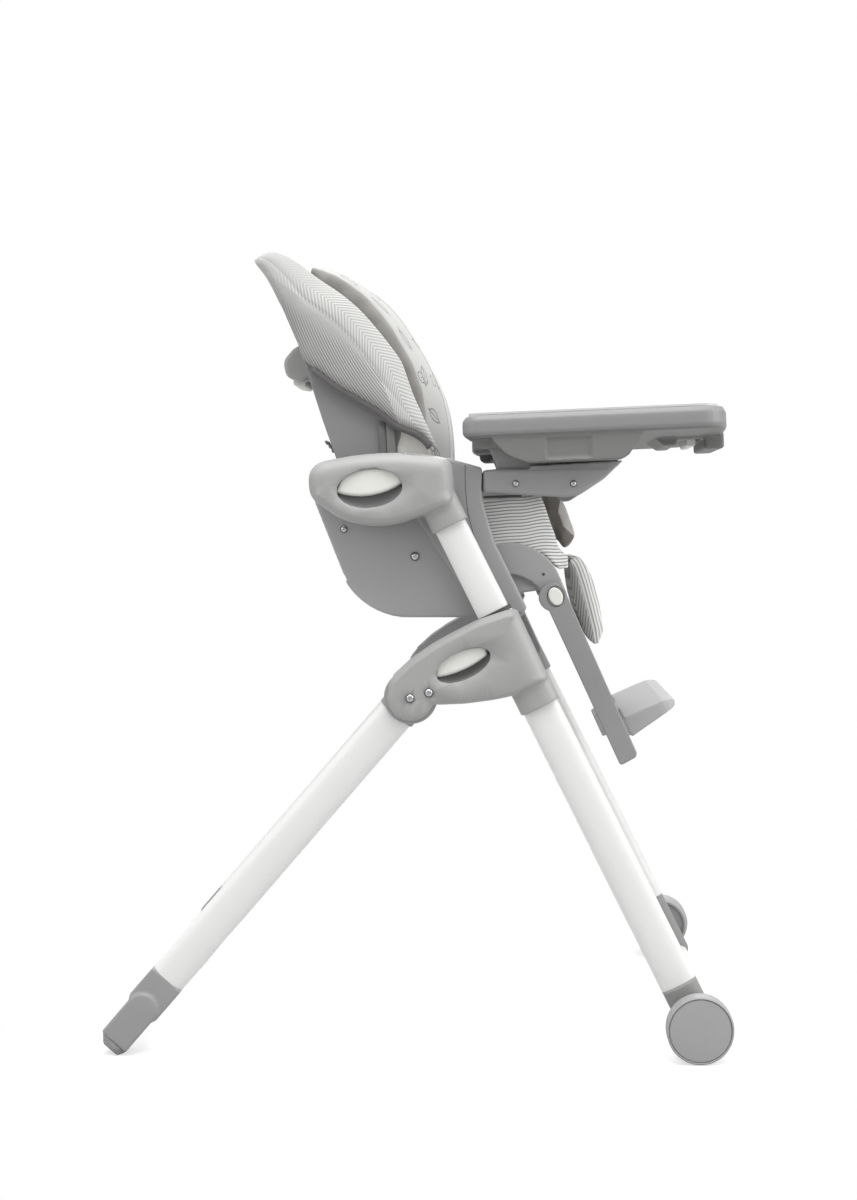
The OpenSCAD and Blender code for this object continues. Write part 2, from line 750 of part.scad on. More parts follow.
function back_side_outline() = concat(
    arc3([recline_x - 23, recline_z + 10], [recline_x, recline_z - 24], [recline_x + 25, recline_z]),
    [[0, 700], [-20, 790]], arc3([-34, 840], [-76, 922], [-190, 1030], 6), [[-217, 1034]],
    [for (i = [6:-1:0]) back_rear()[i]]
);

// Moulded back: rear wall, side walls and the lugs of the recline pivot
module back_shell() {
    color(plastic) difference() {
        union() {
            intersection() {
                union() {
                    slab(strip(back_rear(), shell_wall), -back_y, back_y);
                    // Wall that the cushion lies against
                    slab(strip(cushion_support(), shell_wall), -back_y, back_y);
                    on_both_sides() slab(back_side_outline(), back_y - shell_wall, back_y);
                }
                back_front_view(0);
            }
            // Stiffening ribs across the inside of the rear wall
            for (i = [2, 4]) let (p = back_rear()[i])
                slab([p + [2, 0], p + [14, -2], p + [14, 2], p + [2, 4]], -back_y + 2, back_y - 2);
        }
        // Slots for the shoulder straps
        on_both_sides() for (z = [850, 895]) translate([-200, 40, z]) cube([190, 30, 8]);
        on_both_sides() pin(recline_x, recline_z, pivot_pin_r + running_gap, 150, 250);
    }
}

// Rounded top of the back, seen from the front, swept along X
module back_front_view(grow) {
    half = back_y + grow;
    top = 1040 + grow;
    translate([-400, 0, 0]) rotate([90, 0, 90]) linear_extrude(height = 500)
        polygon(rounded([[-half, 600], [half, 600], [half, top, 90], [-half, top, 90]]));
}

function wing_outline() = rounded(concat(
    [[-226, 1036, 10]],
    arc3([-190, 1046], [-80, 966], [10, 812], 10),
    [[6, 806, 3]],
    arc3([-4, 811], [-82, 851], [-150, 893], 8),
    [[-163, 914]]
));

// Quilted cover over the upper back: two side wings and the roll over the top
module back_wing() {
    color(striped_cloth) {
        on_both_sides() slab(wing_outline(), back_y + 0.5, back_y + 20);
        difference() {
            hull() {
                for (y = [-120, 120]) translate([-207, y, 1046]) sphere(r = 14, $fn = 24);
                for (y = [-60, 60]) translate([-210, y, 1056]) sphere(r = 14, $fn = 24);
                for (y = [-back_y - 8, back_y + 8]) translate([-204, y, 1018]) sphere(r = 12, $fn = 24);
            }
            back_front_view(0.4);
        }
    }
}

function cushion_front() = arc3([-178, 1060], [-22, 952], [30, 800], 12);

function cushion_rear() = arc3([-204, 1040], [-68, 930], [-22, 760], 12);

// Back cushion, crowned along its middle
module back_cushion() {
    crest = concat(cushion_front(), [[26, 700], [10, 688], [-60, 690], [-189, 1041]]);
    edge = concat(arc3([-150, 1030], [-42, 938], [4, 780], 10), [[0, 710], [-60, 700], [-184, 1026]]);
    color(pale_cloth) difference() {
        hull() {
            slab(crest, -55, 55);
            slab(edge, -140, 140);
        }
        slab(concat(cushion_rear(), [[-22, 690], [-30, 600], [-250, 600], [-250, 1040]]), -200, 200);
    }
}

// Shoulder straps on the cushion
module harness_straps() {
    path = [for (p = cushion_front()) if (p[1] < 1000) p + 0.6 * unit(p - [-220, 790])];
    last = len(path) - 1;
    color(webbing) on_both_sides() slab(strip([for (i = [last:-1:0]) path[i]], 2), 26, 48);
}

// Grip on the rear of the back, with the trigger that frees the recline
module recline_handle() {
    grip = rounded([
        [-166.5, 916], [-176.2, 938], [-181, 938], [-192, 934, 8], [-208, 915, 14], [-203, 893, 10],
        [-180, 884, 6], [-160.8, 896]
    ]);
    color(plastic) difference() {
        slab(grip, -62, 62);
        slab(inset(grip, 4), -40, 40);
        translate([-202, -40, 870]) cube([26, 80, 26]);
    }
}

module recline_trigger() {
    blade = rounded([[-196, 883, 4], [-196, 908, 3], [-178, 908, 3], [-178, 880, 4]]);
    color(white_plastic) slab(blade, -38, 38);
}

// ---- Footrest ----

function foot_arm_outline() = rounded(concat(
    arc3([-16, -14], [0, 19.5], [14.4, -6], 12),
    [[12, -foot_l + 2, 7], [-15, -foot_l, 4]]
));

module footrest_arm(side) {
    color(plastic) on_side(side) difference() {
        union() {
            footrest_axes() slab(foot_arm_outline(), pad_y + 11.5, pad_y + 25);
            pin(foot_x, foot_z, foot_pin_r, pad_y - 4, pad_y + 12.5);
        }
        footrest_axes() slab(button_outline(0.3), pad_y + 17, pad_y + 30);
        // Channel that the footplate's carrier slides in
        footrest_axes() slab([[-10, -143], [-10, -228], [8, -228], [8, -143]], pad_y + 11, pad_y + 21);
    }
}

function button_outline(grow) = ellipse(18.5 + 2 * grow, 25 + 2 * grow, 0, [0, 0], 32);

module footrest_button(side) {
    color(white_plastic) on_side(side) footrest_axes()
        crowned(button_outline(0), pad_y + 21.5, pad_y + 27, 1.6);
}

// Bowed panel between the arms, behind the calf pad
module footrest_panel() {
    span = pad_y + 11.5;
    color(plastic) footrest_axes() difference() {
        slab(rounded([[-6, -40, 2], [-1, -36, 2], [7, -60], [7, -128, 3], [2, -132, 2], [-6, -60]]),
             -span, span);
        for (y = [-110, -55, 0, 55, 110]) translate([-20, y - 12, -112]) cube([40, 24, 44]);
    }
}

module calf_pad() {
    shape = rounded([
        [199, 589, 4], [202, 600, 4], [226, 600, 6], [239, 556, 20], [237.5, 528, 8], [228, 521, 6],
        [215, 533, 14]
    ]);
    color(striped_cloth) slab(shape, -140, 140);
}

// Foot board that slides up and down between the arms
module footplate() {
    half = pad_y - 14;
    board = rounded([[16, -189], [74, -190, 14], [91, -195, 5], [86, -204, 6], [16, -217]]);
    color(plastic) footrest_axes() {
        difference() {
            intersection() {
                slab(board, -half, half);
                // Rounded front corners
                translate([0, 0, -240]) linear_extrude(height = 80)
                    polygon(rounded([[-30, -half], [92, -half, 26], [92, half, 26], [-30, half]]));
            }
            for (y = [-100, -50, 0, 50, 100])
                slab([[22, -196], [70, -197], [70, -220], [22, -230]], y - 20, y + 20);
        }
        // Carriers in the arms' inner channels, and the latch that reaches out behind
        on_both_sides() {
            slab([[-9, -192], [20, -192], [20, -214], [-9, -214]], half - 14, half - 1);
            slab([[-9.7, -193], [7.7, -193], [7.7, -213], [-9.7, -213]], half - 4, pad_y + 20.7);
        }
        slab([[-21, -184], [-8, -182], [20, -191], [20, -211], [-8, -217], [-21, -215]], -42, 42);
    }
}

// ---- Tray ----

// Plan of the tray, [x, y]: bowed front, and a hollow at the rear for the child
function tray_plan(d) = inset(rounded(concat(
    [[0, -tray_y, 24], [tray_l - 0.5, -tray_y, 34]],
    arc3([tray_l + 12, -175], [tray_l + 24.6, 0], [tray_l + 12, 175], 14),
    [[tray_l - 0.5, tray_y, 34], [0, tray_y, 24]],
    arc3([4, 160], [72, 0], [4, -160], 16)
)), d);

module tray_plate(d, z0, z1) {
    translate([0, 0, z0]) linear_extrude(height = z1 - z0) polygon(tray_plan(d));
}

// Side housing of the tray, which hooks over the armrest's rail
function tray_side_outline() = rounded([
    [36, 2], [46, -12, 16], [60, -25, 24], [84, -34.5, 16], [206, -35, 14], [216, -30, 10], [238, 2]
]);

module tray_base() {
    floor_z = 5;
    color(plastic) tray_axes() difference() {
        union() {
            tray_plate(5, 0, 6);
            tray_plate(1.5, 3, tray_rim - 2);
            tray_plate(0, 6, tray_rim - 6);
            tray_plate(4, tray_rim - 3, tray_rim);
            on_both_sides() {
                slab(tray_side_outline(), bracket_y + 3, tray_y - 6);
                // Stop behind each side housing
                slab(rounded([[13, 2], [13, -8, 6], [20, -13, 6], [50, -13, 2], [50, 2]]),
                    bracket_y + 3, tray_y - 20);
                // Rib that hooks under the flange of the armrest's rail
                slab([[30, -10], [200, -10], [200, -7], [30, -7]], 195, bracket_y + 4);
            }
            // Housing of the latch under the front edge
            slab(rounded([[262, 2], [278, -12, 5], [296, -12, 3], [296, -4, 2], [334, -4, 2], [334, -19, 3],
                          [362, -19, 5], [362, 2]]), -70, 70);
        }
        tray_plate(14, floor_z, tray_rim + 5);
        // Recessed grip in each side housing
        on_both_sides()
            slab(rounded([[108, -4, 2], [168, -4, 2], [168, -31, 3], [108, -31, 3]]), tray_y - 9, tray_y);
        slab([[311, -30], [332, -30], [332, 4], [311, 4]], -52, 52);
    }
}

// Lift-out liner with its own lip
module tray_insert() {
    color(white_plastic) tray_axes() difference() {
        union() {
            tray_plate(14.5, 5.3, tray_rim + 1);
            tray_plate(9, tray_rim + 0.1, tray_rim + 2.6);
        }
        tray_plate(17, 7.8, tray_rim + 9);
    }
}

module tray_latch() {
    color(white_plastic) tray_axes()
        slab(rounded([[312, 3, 1], [312, -13, 3], [324, -13, 3], [324, 3, 1]]), -50, 50);
}

front_leg(LEFT);  // front_leg_left
front_leg(RIGHT);  // front_leg_right
front_leg_bushes();
front_crossbar();
front_shoe(LEFT);  // front_shoe_left
front_shoe(RIGHT);  // front_shoe_right
wheel_axles();
hub_outer(LEFT);  // hub_outer_left
hub_outer(RIGHT);  // hub_outer_right
hub_inner(LEFT);  // hub_inner_left
hub_inner(RIGHT);  // hub_inner_right
fold_pivots();
hub_screws();
wheel(LEFT);  // wheel_left
wheel(RIGHT);  // wheel_right
wheel_cap(LEFT);  // wheel_cap_left
wheel_cap(RIGHT);  // wheel_cap_right
rear_leg(LEFT);  // rear_leg_left
rear_leg(RIGHT);  // rear_leg_right
rear_socket(LEFT);  // rear_socket_left
rear_socket(RIGHT);  // rear_socket_right
rear_crossbar();
rear_foot(LEFT);  // rear_foot_left
rear_foot(RIGHT);  // rear_foot_right
rear_foot_pads();
fold_lever(LEFT);  // fold_lever_left
fold_lever(RIGHT);  // fold_lever_right
seat_tube(LEFT);  // seat_tube_left
seat_tube(RIGHT);  // seat_tube_right
seat_tube_glides();
carriage_outer(LEFT);  // carriage_outer_left
carriage_outer(RIGHT);  // carriage_outer_right
carriage_inner(LEFT);  // carriage_inner_left
carriage_inner(RIGHT);  // carriage_inner_right
height_lever(LEFT);  // height_lever_left
height_lever(RIGHT);  // height_lever_right
seat_shell();
seat_screws();
recline_pivots();
armrest(LEFT);  // armrest_left
armrest(RIGHT);  // armrest_right
seat_pad();
crotch_pad();
harness_buckle();
back_shell();
back_wing();
back_cushion();
harness_straps();
recline_handle();
recline_trigger();
footrest_arm(LEFT);  // footrest_arm_left
footrest_arm(RIGHT);  // footrest_arm_right
footrest_panel();
calf_pad();
footrest_button(LEFT);  // footrest_button_left
footrest_button(RIGHT);  // footrest_button_right
footplate();
tray_base();
tray_insert();
tray_latch();
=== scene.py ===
"""Looks of a folding baby high chair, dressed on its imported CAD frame. Metres, +X forward, +Z up."""

import json
import math

import bmesh
import bpy
import numpy as np
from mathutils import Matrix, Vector, noise
from mathutils.bvhtree import BVHTree


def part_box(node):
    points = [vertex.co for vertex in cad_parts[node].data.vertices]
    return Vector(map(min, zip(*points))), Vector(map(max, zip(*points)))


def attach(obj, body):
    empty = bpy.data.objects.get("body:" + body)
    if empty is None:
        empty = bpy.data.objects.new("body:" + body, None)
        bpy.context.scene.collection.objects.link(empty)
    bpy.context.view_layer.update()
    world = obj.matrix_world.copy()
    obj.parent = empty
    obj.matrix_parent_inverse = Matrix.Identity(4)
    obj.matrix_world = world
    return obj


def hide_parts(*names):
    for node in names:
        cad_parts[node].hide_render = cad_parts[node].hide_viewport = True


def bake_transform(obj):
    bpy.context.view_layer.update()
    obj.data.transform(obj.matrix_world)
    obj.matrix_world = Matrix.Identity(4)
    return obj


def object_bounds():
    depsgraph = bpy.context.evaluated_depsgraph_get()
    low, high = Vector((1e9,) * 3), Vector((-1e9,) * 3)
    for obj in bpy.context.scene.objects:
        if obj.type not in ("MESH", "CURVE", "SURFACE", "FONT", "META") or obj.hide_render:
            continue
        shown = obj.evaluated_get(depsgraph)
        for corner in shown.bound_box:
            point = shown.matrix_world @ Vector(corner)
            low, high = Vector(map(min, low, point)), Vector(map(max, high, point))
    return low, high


bl_info = {
    "name": "Folding high chair",
    "version": (1, 0, 0),
    "blender": (4, 5, 0),
    "location": "3D View > Sidebar > High chair",
    "description": "Builds the finished surfaces of a folding high chair on its CAD frame",
    "category": "Object",
}

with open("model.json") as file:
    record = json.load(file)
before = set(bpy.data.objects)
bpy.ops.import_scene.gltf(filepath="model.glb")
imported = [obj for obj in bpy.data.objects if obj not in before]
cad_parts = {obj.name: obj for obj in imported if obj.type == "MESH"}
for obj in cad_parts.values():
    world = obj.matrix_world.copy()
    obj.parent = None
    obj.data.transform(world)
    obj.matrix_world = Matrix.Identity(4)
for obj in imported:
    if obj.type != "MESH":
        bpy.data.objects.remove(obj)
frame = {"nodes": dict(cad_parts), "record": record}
cad_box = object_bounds()

MM = 0.001
# Wing cover: the width of its rolled band, and the points along its edges
WING_BAND = 36 * MM
WING_POINTS = 140
# Outer faces that carry a fine parting line, and dark marks of painted shade in a gap and a hole
BRACKET_Y = 0.2057
SEAT_ARM_Y = 0.1762
SHADOW_GAP_Y = 0.178
# Tray in the side view: its origin, and its tilt in degrees
TRAY_ORIGIN = (0.050, 0.795)
TRAY_TILT = 2.5
# Front leg in the side view: a point on its centre line, and the direction across it towards the front
LEG_POINT = np.array([0.354, 0.043])
LEG_ACROSS = np.array([0.8949, 0.4462])
# About where the wheels and feet meet the floor, as distances from the middle of the chair
GROUND_CONTACT = (0.372, 0.242)
CAMERA_PLACE = (0.121, -2.29, 0.673)
# Back cushion: half its width, the exponent of its crown, and the points along it and across its front
CUSHION_HALF = 0.140
CUSHION_CROWN = 2.4
CUSHION_LENGTH_POINTS = 70
CUSHION_FRONT_POINTS = 25
# Smoothing rounds on a casting's crown
CROWN_ROUNDS = 30
# The two sides of the chair, and their directions along Y
SIDES = {"left": 1, "right": -1}


# ---------------------------------------------------------------- settings

class HighChairSizes(bpy.types.PropertyGroup):
    """Sizes that set the look of the soft parts and the surface patterns"""
    stripe_pitch: bpy.props.FloatProperty(
        name="Stripe pitch", description="Distance from one woven stripe to the next",
        default=4.4 * MM, min=1 * MM, max=10 * MM, subtype="DISTANCE", unit="LENGTH")
    herringbone_pitch: bpy.props.FloatProperty(
        name="Herringbone pitch", description="Distance between the slanted stripes of the wing cover",
        default=3.8 * MM, min=1 * MM, max=10 * MM, subtype="DISTANCE", unit="LENGTH")
    print_size: bpy.props.FloatProperty(
        name="Print size", description="Spacing of the small drawings on the cushion",
        default=58 * MM, min=15 * MM, max=80 * MM, subtype="DISTANCE", unit="LENGTH")
    edge_softness: bpy.props.IntProperty(
        name="Edge softness", description="Smoothing rounds on the moulded parts' edges",
        default=6, min=1, max=20)


class HighChairColours(bpy.types.PropertyGroup):
    """Main colours of the chair"""
    grey: bpy.props.StringProperty(
        name="Grey plastic", description="Hex colour of the wheels, feet and arms", default="969696")
    shell: bpy.props.StringProperty(
        name="Seat shell", description="Hex colour of the seat and back mouldings", default="A2A2A2")
    tube: bpy.props.StringProperty(
        name="Tubes", description="Hex colour of the powder coat", default="E5E5E4")
    lever: bpy.props.StringProperty(
        name="Levers", description="Hex colour of the levers and buttons", default="E6E6E1")


# ---------------------------------------------------------------- materials

def linear(code):
    """Linear RGBA of an sRGB hex colour"""
    parts = [int(code[i:i + 2], 16) / 255 for i in (0, 2, 4)]
    return tuple(c / 12.92 if c <= 0.04045 else ((c + 0.055) / 1.055) ** 2.4 for c in parts) + (1.0,)


def tone(code, gain):
    """Hex colour made lighter or darker"""
    return "".join(f"{min(255, max(0, round(int(code[i:i + 2], 16) * gain))):02X}" for i in (0, 2, 4))


def add(tree, kind, links=None, **settings):
    """Adds a node: settings are its properties, and links its inputs, each as a value, a socket, or a node
    whose first output is meant"""
    node = tree.nodes.new("ShaderNode" + kind)
    for key, value in settings.items():
        setattr(node, key, value)
    for key, value in (links or {}).items():
        if isinstance(value, bpy.types.Node):
            value = value.outputs[0]
        if isinstance(value, bpy.types.NodeSocket):
            tree.links.new(value, node.inputs[key])
        else:
            node.inputs[key].default_value = value
    return node


def blank(name, **values):
    """A material with a Principled shader, and its tree and shader"""
    made = bpy.data.materials.new(name)
    made.use_nodes = True
    tree = made.node_tree
    tree.nodes.clear()
    shader = add(tree, "BsdfPrincipled", {key.replace("_", " "): value for key, value in values.items()})
    add(tree, "OutputMaterial", {0: shader})
    return made, tree, shader


def bumped(tree, shader, height, depth):
    """Relief of a real depth in metres, where the height is 1"""
    bump = add(tree, "Bump", {"Height": height, "Distance": depth, "Strength": 1.0})
    tree.links.new(bump.outputs[0], shader.inputs["Normal"])


def shaded(tree, shader, factor, dark, light):
    """Base colour between two hex colours; returns its socket"""
    colour = add(tree, "Mix", {0: factor, 6: linear(dark), 7: linear(light)}, data_type="RGBA").outputs[2]
    tree.links.new(colour, shader.inputs["Base Color"])
    return colour


def moulded(name, colour, rough=0.5, grain=0.5 * MM, depth=0.02 * MM, spread=0.02):
    """Moulded polypropylene: a fine spark-eroded grain that spreads the light softly. It is drawn coarser
    than the real one, which would be too fine to show"""
    made, tree, shader = blank(name, Roughness=rough, IOR=1.49)
    where = add(tree, "TexCoord").outputs["Object"]
    cloud = add(tree, "TexNoise", {"Vector": where, "Scale": 14.0, "Detail": 2.0})
    shaded(tree, shader, cloud, tone(colour, 1 - spread), tone(colour, 1 + spread))
    grit = add(tree, "TexNoise", {"Vector": where, "Scale": 1 / grain, "Detail": 1.0})
    bumped(tree, shader, grit, depth)
    return made


def powder_coat(name, colour):
    """Powder-coated steel: a satin white film with a faint orange peel a few millimetres wide"""
    made, tree, shader = blank(name, Roughness=0.34, IOR=1.5, Coat_Weight=0.15, Coat_Roughness=0.2)
    where = add(tree, "TexCoord").outputs["Object"]
    cloud = add(tree, "TexNoise", {"Vector": where, "Scale": 9.0, "Detail": 1.0})
    shaded(tree, shader, cloud, tone(colour, 0.985), colour)
    peel = add(tree, "TexNoise", {"Vector": where, "Scale": 1 / (2.5 * MM), "Detail": 2.0})
    bumped(tree, shader, peel, 0.015 * MM)
    return made


def gloss_abs(name, colour):
    """Injection-moulded ABS: smooth and softly glossy, as the white levers are"""
    made, tree, shader = blank(name, Roughness=0.28, IOR=1.53)
    where = add(tree, "TexCoord").outputs["Object"]
    cloud = add(tree, "TexNoise", {"Vector": where, "Scale": 20.0, "Detail": 1.0})
    shaded(tree, shader, cloud, tone(colour, 0.985), colour)
    bumped(tree, shader, cloud, 0.05 * MM)
    return made


def plated_steel(name):
    """Nickel-plated steel: bright, with the faint turning marks of a screw head, drawn coarser than real ones
    so that they show"""
    made, tree, shader = blank(name, Metallic=1.0, Roughness=0.2)
    where = add(tree, "TexCoord").outputs["Object"]
    marks = add(tree, "TexNoise", {"Vector": where, "Scale": 1 / (0.6 * MM), "Detail": 1.0})
    shaded(tree, shader, marks, "B9BBBD", "D9DADC")
    bumped(tree, shader, marks, 0.01 * MM)
    return made


def weave_height(tree, where, pitch):
    """Plain weave: the sum of three waves, one along each axis, with a thread's pitch. Every cloth here has
    threads drawn wider than real ones, which would be too fine to show"""
    scaled = add(tree, "Mapping", {"Vector": where, "Scale": (math.tau / pitch,) * 3})
    axes = add(tree, "SeparateXYZ", {0: scaled}).outputs
    waves = [add(tree, "Math", {0: axis}, operation="SINE") for axis in axes]
    crossed = add(tree, "Math", {0: waves[0], 1: waves[1]}, operation="ADD")
    return add(tree, "Math", {0: crossed, 1: waves[2]}, operation="ADD")


def woven(tree, shader, face, thread, depth, share=0.12):
    """Relief of cloth: its threads have a share of it, and the face above them the rest"""
    weave = weave_height(tree, add(tree, "TexCoord").outputs["Object"], thread)
    height = add(tree, "Math", {0: weave, 1: share, 2: face}, operation="MULTIPLY_ADD")
    bumped(tree, shader, height, depth)


def stripe_wave(tree, value, pitch, sharpness=0.75, bias=0.5):
    """Smooth stripes of a pitch along a value in metres: 0 in the grey thread, 1 in the white"""
    angle = add(tree, "Math", {0: value, 1: math.tau / pitch}, operation="MULTIPLY")
    wave = add(tree, "Math", {0: angle}, operation="SINE")
    return add(tree, "Math", {0: wave, 1: sharpness, 2: bias}, operation="MULTIPLY_ADD", use_clamp=True)


def striped_cotton(name, pitch, dark, light="DCDCDA", slant=0.0):
    """Yarn-dyed cotton: thin grey stripes woven into white, straight or at a slant in radians"""
    made, tree, shader = blank(name, Roughness=0.9, IOR=1.45, Sheen_Weight=0.25, Sheen_Roughness=0.5)
    uv = add(tree, "UVMap", uv_map="Cloth")
    split = add(tree, "SeparateXYZ", {0: uv}).outputs
    drift = add(tree, "TexNoise", {"Vector": uv, "Scale": 12.0, "Detail": 1.0})
    upward = add(tree, "Math", {0: split[1], 1: math.cos(slant)}, operation="MULTIPLY")
    across = add(tree, "Math", {0: split[0], 1: math.sin(slant), 2: upward}, operation="MULTIPLY_ADD")
    line = add(tree, "Math", {0: drift, 1: 1.6 * MM, 2: across}, operation="MULTIPLY_ADD")
    stripes = stripe_wave(tree, line, pitch, 1.0, 0.95)
    shaded(tree, shader, stripes, dark, light)
    woven(tree, shader, stripes, 1.4 * MM, 0.18 * MM)
    return made


def herringbone_cotton(name, pitch, dark="7C7C7B", light="CDCDCB"):
    """Yarn-dyed cotton of the wing: a herringbone band along its front edge, and a main panel whose
    stripes slant one way at the top and sweep the other way at the bottom"""
    made, tree, shader = blank(name, Roughness=0.88, IOR=1.45, Sheen_Weight=0.2, Sheen_Roughness=0.5)
    cloth = add(tree, "SeparateXYZ", {0: add(tree, "UVMap", uv_map="Cloth")}).outputs
    edge = add(tree, "SeparateXYZ", {0: add(tree, "UVMap", uv_map="Edge")}).outputs
    where = add(tree, "TexCoord").outputs["Object"]
    # Band: slanted stripes that change side along its middle
    aside = add(tree, "Math", {0: cloth[1], 1: WING_BAND / 2}, operation="SUBTRACT")
    fold = add(tree, "Math", {0: aside}, operation="ABSOLUTE")
    run = add(tree, "Math", {0: cloth[0], 1: 0.66}, operation="MULTIPLY")
    slant = add(tree, "Math", {0: fold, 1: 0.75, 2: run}, operation="MULTIPLY_ADD")
    band = stripe_wave(tree, slant, pitch)
    # Panel: fine straight stripes above, wider ones round a far centre below
    rising = add(tree, "VectorMath", {0: where, 1: (-0.766, 0.0, 0.643)}, operation="DOT_PRODUCT")
    upper = stripe_wave(tree, rising.outputs["Value"], pitch * 0.66, 0.5)
    flat = add(tree, "VectorMath", {0: where, 1: (1.0, 0.0, 1.0)}, operation="MULTIPLY")
    sweep = add(tree, "VectorMath", {0: flat, 1: (0.265, 0.0, 1.118)}, operation="DISTANCE")
    lower = stripe_wave(tree, sweep.outputs["Value"], pitch * 0.84, 0.65)
    above = add(tree, "VectorMath", {0: where, 1: (0.564, 0.0, 0.826)}, operation="DOT_PRODUCT")
    low = add(tree, "MapRange", {"Value": above.outputs["Value"], 1: 0.714, 2: 0.690},
              interpolation_type="SMOOTHSTEP")
    panel = add(tree, "Mix", {0: low, 2: upper, 3: lower})
    inside = add(tree, "Math", {0: cloth[1], 1: WING_BAND}, operation="LESS_THAN")
    stripes = add(tree, "Mix", {0: inside, 2: panel, 3: band})
    # Brightness: a band painted lighter as a painted highlight where it rolls up towards the light, a grey
    # panel that darkens downwards, and nearly plain cloth at the top
    panel_shade = add(tree, "Mix", {0: low, 2: 0.42, 3: 0.30})
    striped_shade = add(tree, "Mix", {0: inside, 2: panel_shade, 3: 0.56})
    fade = add(tree, "MapRange", {"Value": edge[1], 1: 0.985, 2: 1.025, 3: 1.0, 4: 0.15})
    shade = add(tree, "Mix", {0: fade, 2: 0.56, 3: striped_shade})
    # Contrast: faint above, clearer below and in the band
    panel_contrast = add(tree, "Mix", {0: low, 2: 0.34, 3: 0.50})
    contrast = add(tree, "Mix", {0: inside, 2: panel_contrast, 3: 0.42})
    gain = add(tree, "Math", {0: fade, 1: contrast}, operation="MULTIPLY")
    centred = add(tree, "Math", {0: stripes, 1: 0.5}, operation="SUBTRACT")
    factor = add(tree, "Math", {0: centred, 1: gain, 2: shade}, operation="MULTIPLY_ADD")
    shaded(tree, shader, factor, dark, light)
    raised = add(tree, "Math", {0: stripes, 1: fade}, operation="MULTIPLY")
    woven(tree, shader, raised, 1.2 * MM, 0.12 * MM)
    return made


def brushed_cloth(name, colour, depth=0.15 * MM):
    """Brushed polyester: matte, slightly uneven, with a short nap that catches the light at its edges"""
    made, tree, shader = blank(name, Roughness=0.95, IOR=1.45, Sheen_Weight=0.5, Sheen_Roughness=0.45)
    where = add(tree, "TexCoord").outputs["Object"]
    cloud = add(tree, "TexNoise", {"Vector": where, "Scale": 60.0, "Detail": 4.0})
    shaded(tree, shader, cloud, tone(colour, 0.94), tone(colour, 1.06))
    woven(tree, shader, cloud, 1.3 * MM, depth, share=0.15)
    return made


def motif_cell(tree, uv, size, offset, share):
    """Cell of a grid in which a share of the cells hold a drawing, each turned its own way: returns the
    distances from the middle along the drawing's two axes, and 1 where there is one"""
    per_metre = (1 / size, 1 / size, 1.0)
    moved = add(tree, "Mapping", {"Vector": uv, "Location": (*offset, 0.0), "Scale": per_metre})
    cell = add(tree, "VectorMath", {0: moved}, operation="FLOOR")
    within = add(tree, "VectorMath", {0: moved}, operation="FRACTION")
    local = add(tree, "VectorMath", {0: within, 1: (0.5, 0.5, 0.0)}, operation="SUBTRACT")
    chance = add(tree, "TexWhiteNoise", {"Vector": cell}, noise_dimensions="3D")
    turn = add(tree, "Math", {0: chance, 1: 6.28}, operation="MULTIPLY")
    spun = add(tree, "VectorRotate", {"Vector": local, "Angle": turn}, rotation_type="Z_AXIS")
    axes = add(tree, "SeparateXYZ", {0: spun}).outputs
    x = add(tree, "Math", {0: axes[0]}, operation="ABSOLUTE")
    y = add(tree, "Math", {0: axes[1]}, operation="ABSOLUTE")
    shown = add(tree, "Math", {0: chance, 1: share}, operation="LESS_THAN")
    return x, y, shown


def from_middle(tree, x, y):
    """Distance from the middle of a cell"""
    spot = add(tree, "CombineXYZ", {0: x, 1: y})
    return add(tree, "VectorMath", {0: spot}, operation="LENGTH").outputs["Value"]


def leaves(tree, uv, size):
    """Outlined leaves: two arcs that meet, with a stem"""
    x, y, shown = motif_cell(tree, uv, size, (0.0, 0.0), 0.62)
    squared = add(tree, "Math", {0: x, 1: x}, operation="MULTIPLY")
    rise = add(tree, "Math", {0: y, 1: 0.13}, operation="SUBTRACT")
    arc = add(tree, "Math", {0: squared, 1: 1.5, 2: rise}, operation="MULTIPLY_ADD")
    away = add(tree, "Math", {0: arc}, operation="ABSOLUTE")
    line = add(tree, "Math", {0: away, 1: 0.021}, operation="LESS_THAN")
    blade = add(tree, "Math", {0: x, 1: 0.29}, operation="LESS_THAN")
    outline = add(tree, "Math", {0: line, 1: blade}, operation="MULTIPLY")
    thin = add(tree, "Math", {0: y, 1: 0.016}, operation="LESS_THAN")
    long = add(tree, "Math", {0: x, 1: 0.36}, operation="LESS_THAN")
    stem = add(tree, "Math", {0: thin, 1: long}, operation="MULTIPLY")
    leaf = add(tree, "Math", {0: outline, 1: stem}, operation="MAXIMUM")
    return add(tree, "Math", {0: leaf, 1: shown}, operation="MULTIPLY")


def dotted_rings(tree, uv, size):
    """Rings with a dot in the middle"""
    x, y, shown = motif_cell(tree, uv, size, (0.37, 0.21), 0.34)
    far = from_middle(tree, x, y)
    offset = add(tree, "Math", {0: far, 1: 0.17}, operation="SUBTRACT")
    away = add(tree, "Math", {0: offset}, operation="ABSOLUTE")
    ring = add(tree, "Math", {0: away, 1: 0.020}, operation="LESS_THAN")
    dot = add(tree, "Math", {0: far, 1: 0.035}, operation="LESS_THAN")
    both = add(tree, "Math", {0: ring, 1: dot}, operation="MAXIMUM")
    return add(tree, "Math", {0: both, 1: shown}, operation="MULTIPLY")


def warm_spots(tree, uv, size):
    """A few filled spots"""
    x, y, shown = motif_cell(tree, uv, size, (0.7, 0.55), 0.16)
    disc = add(tree, "Math", {0: from_middle(tree, x, y), 1: 0.07}, operation="LESS_THAN")
    return add(tree, "Math", {0: disc, 1: shown}, operation="MULTIPLY")


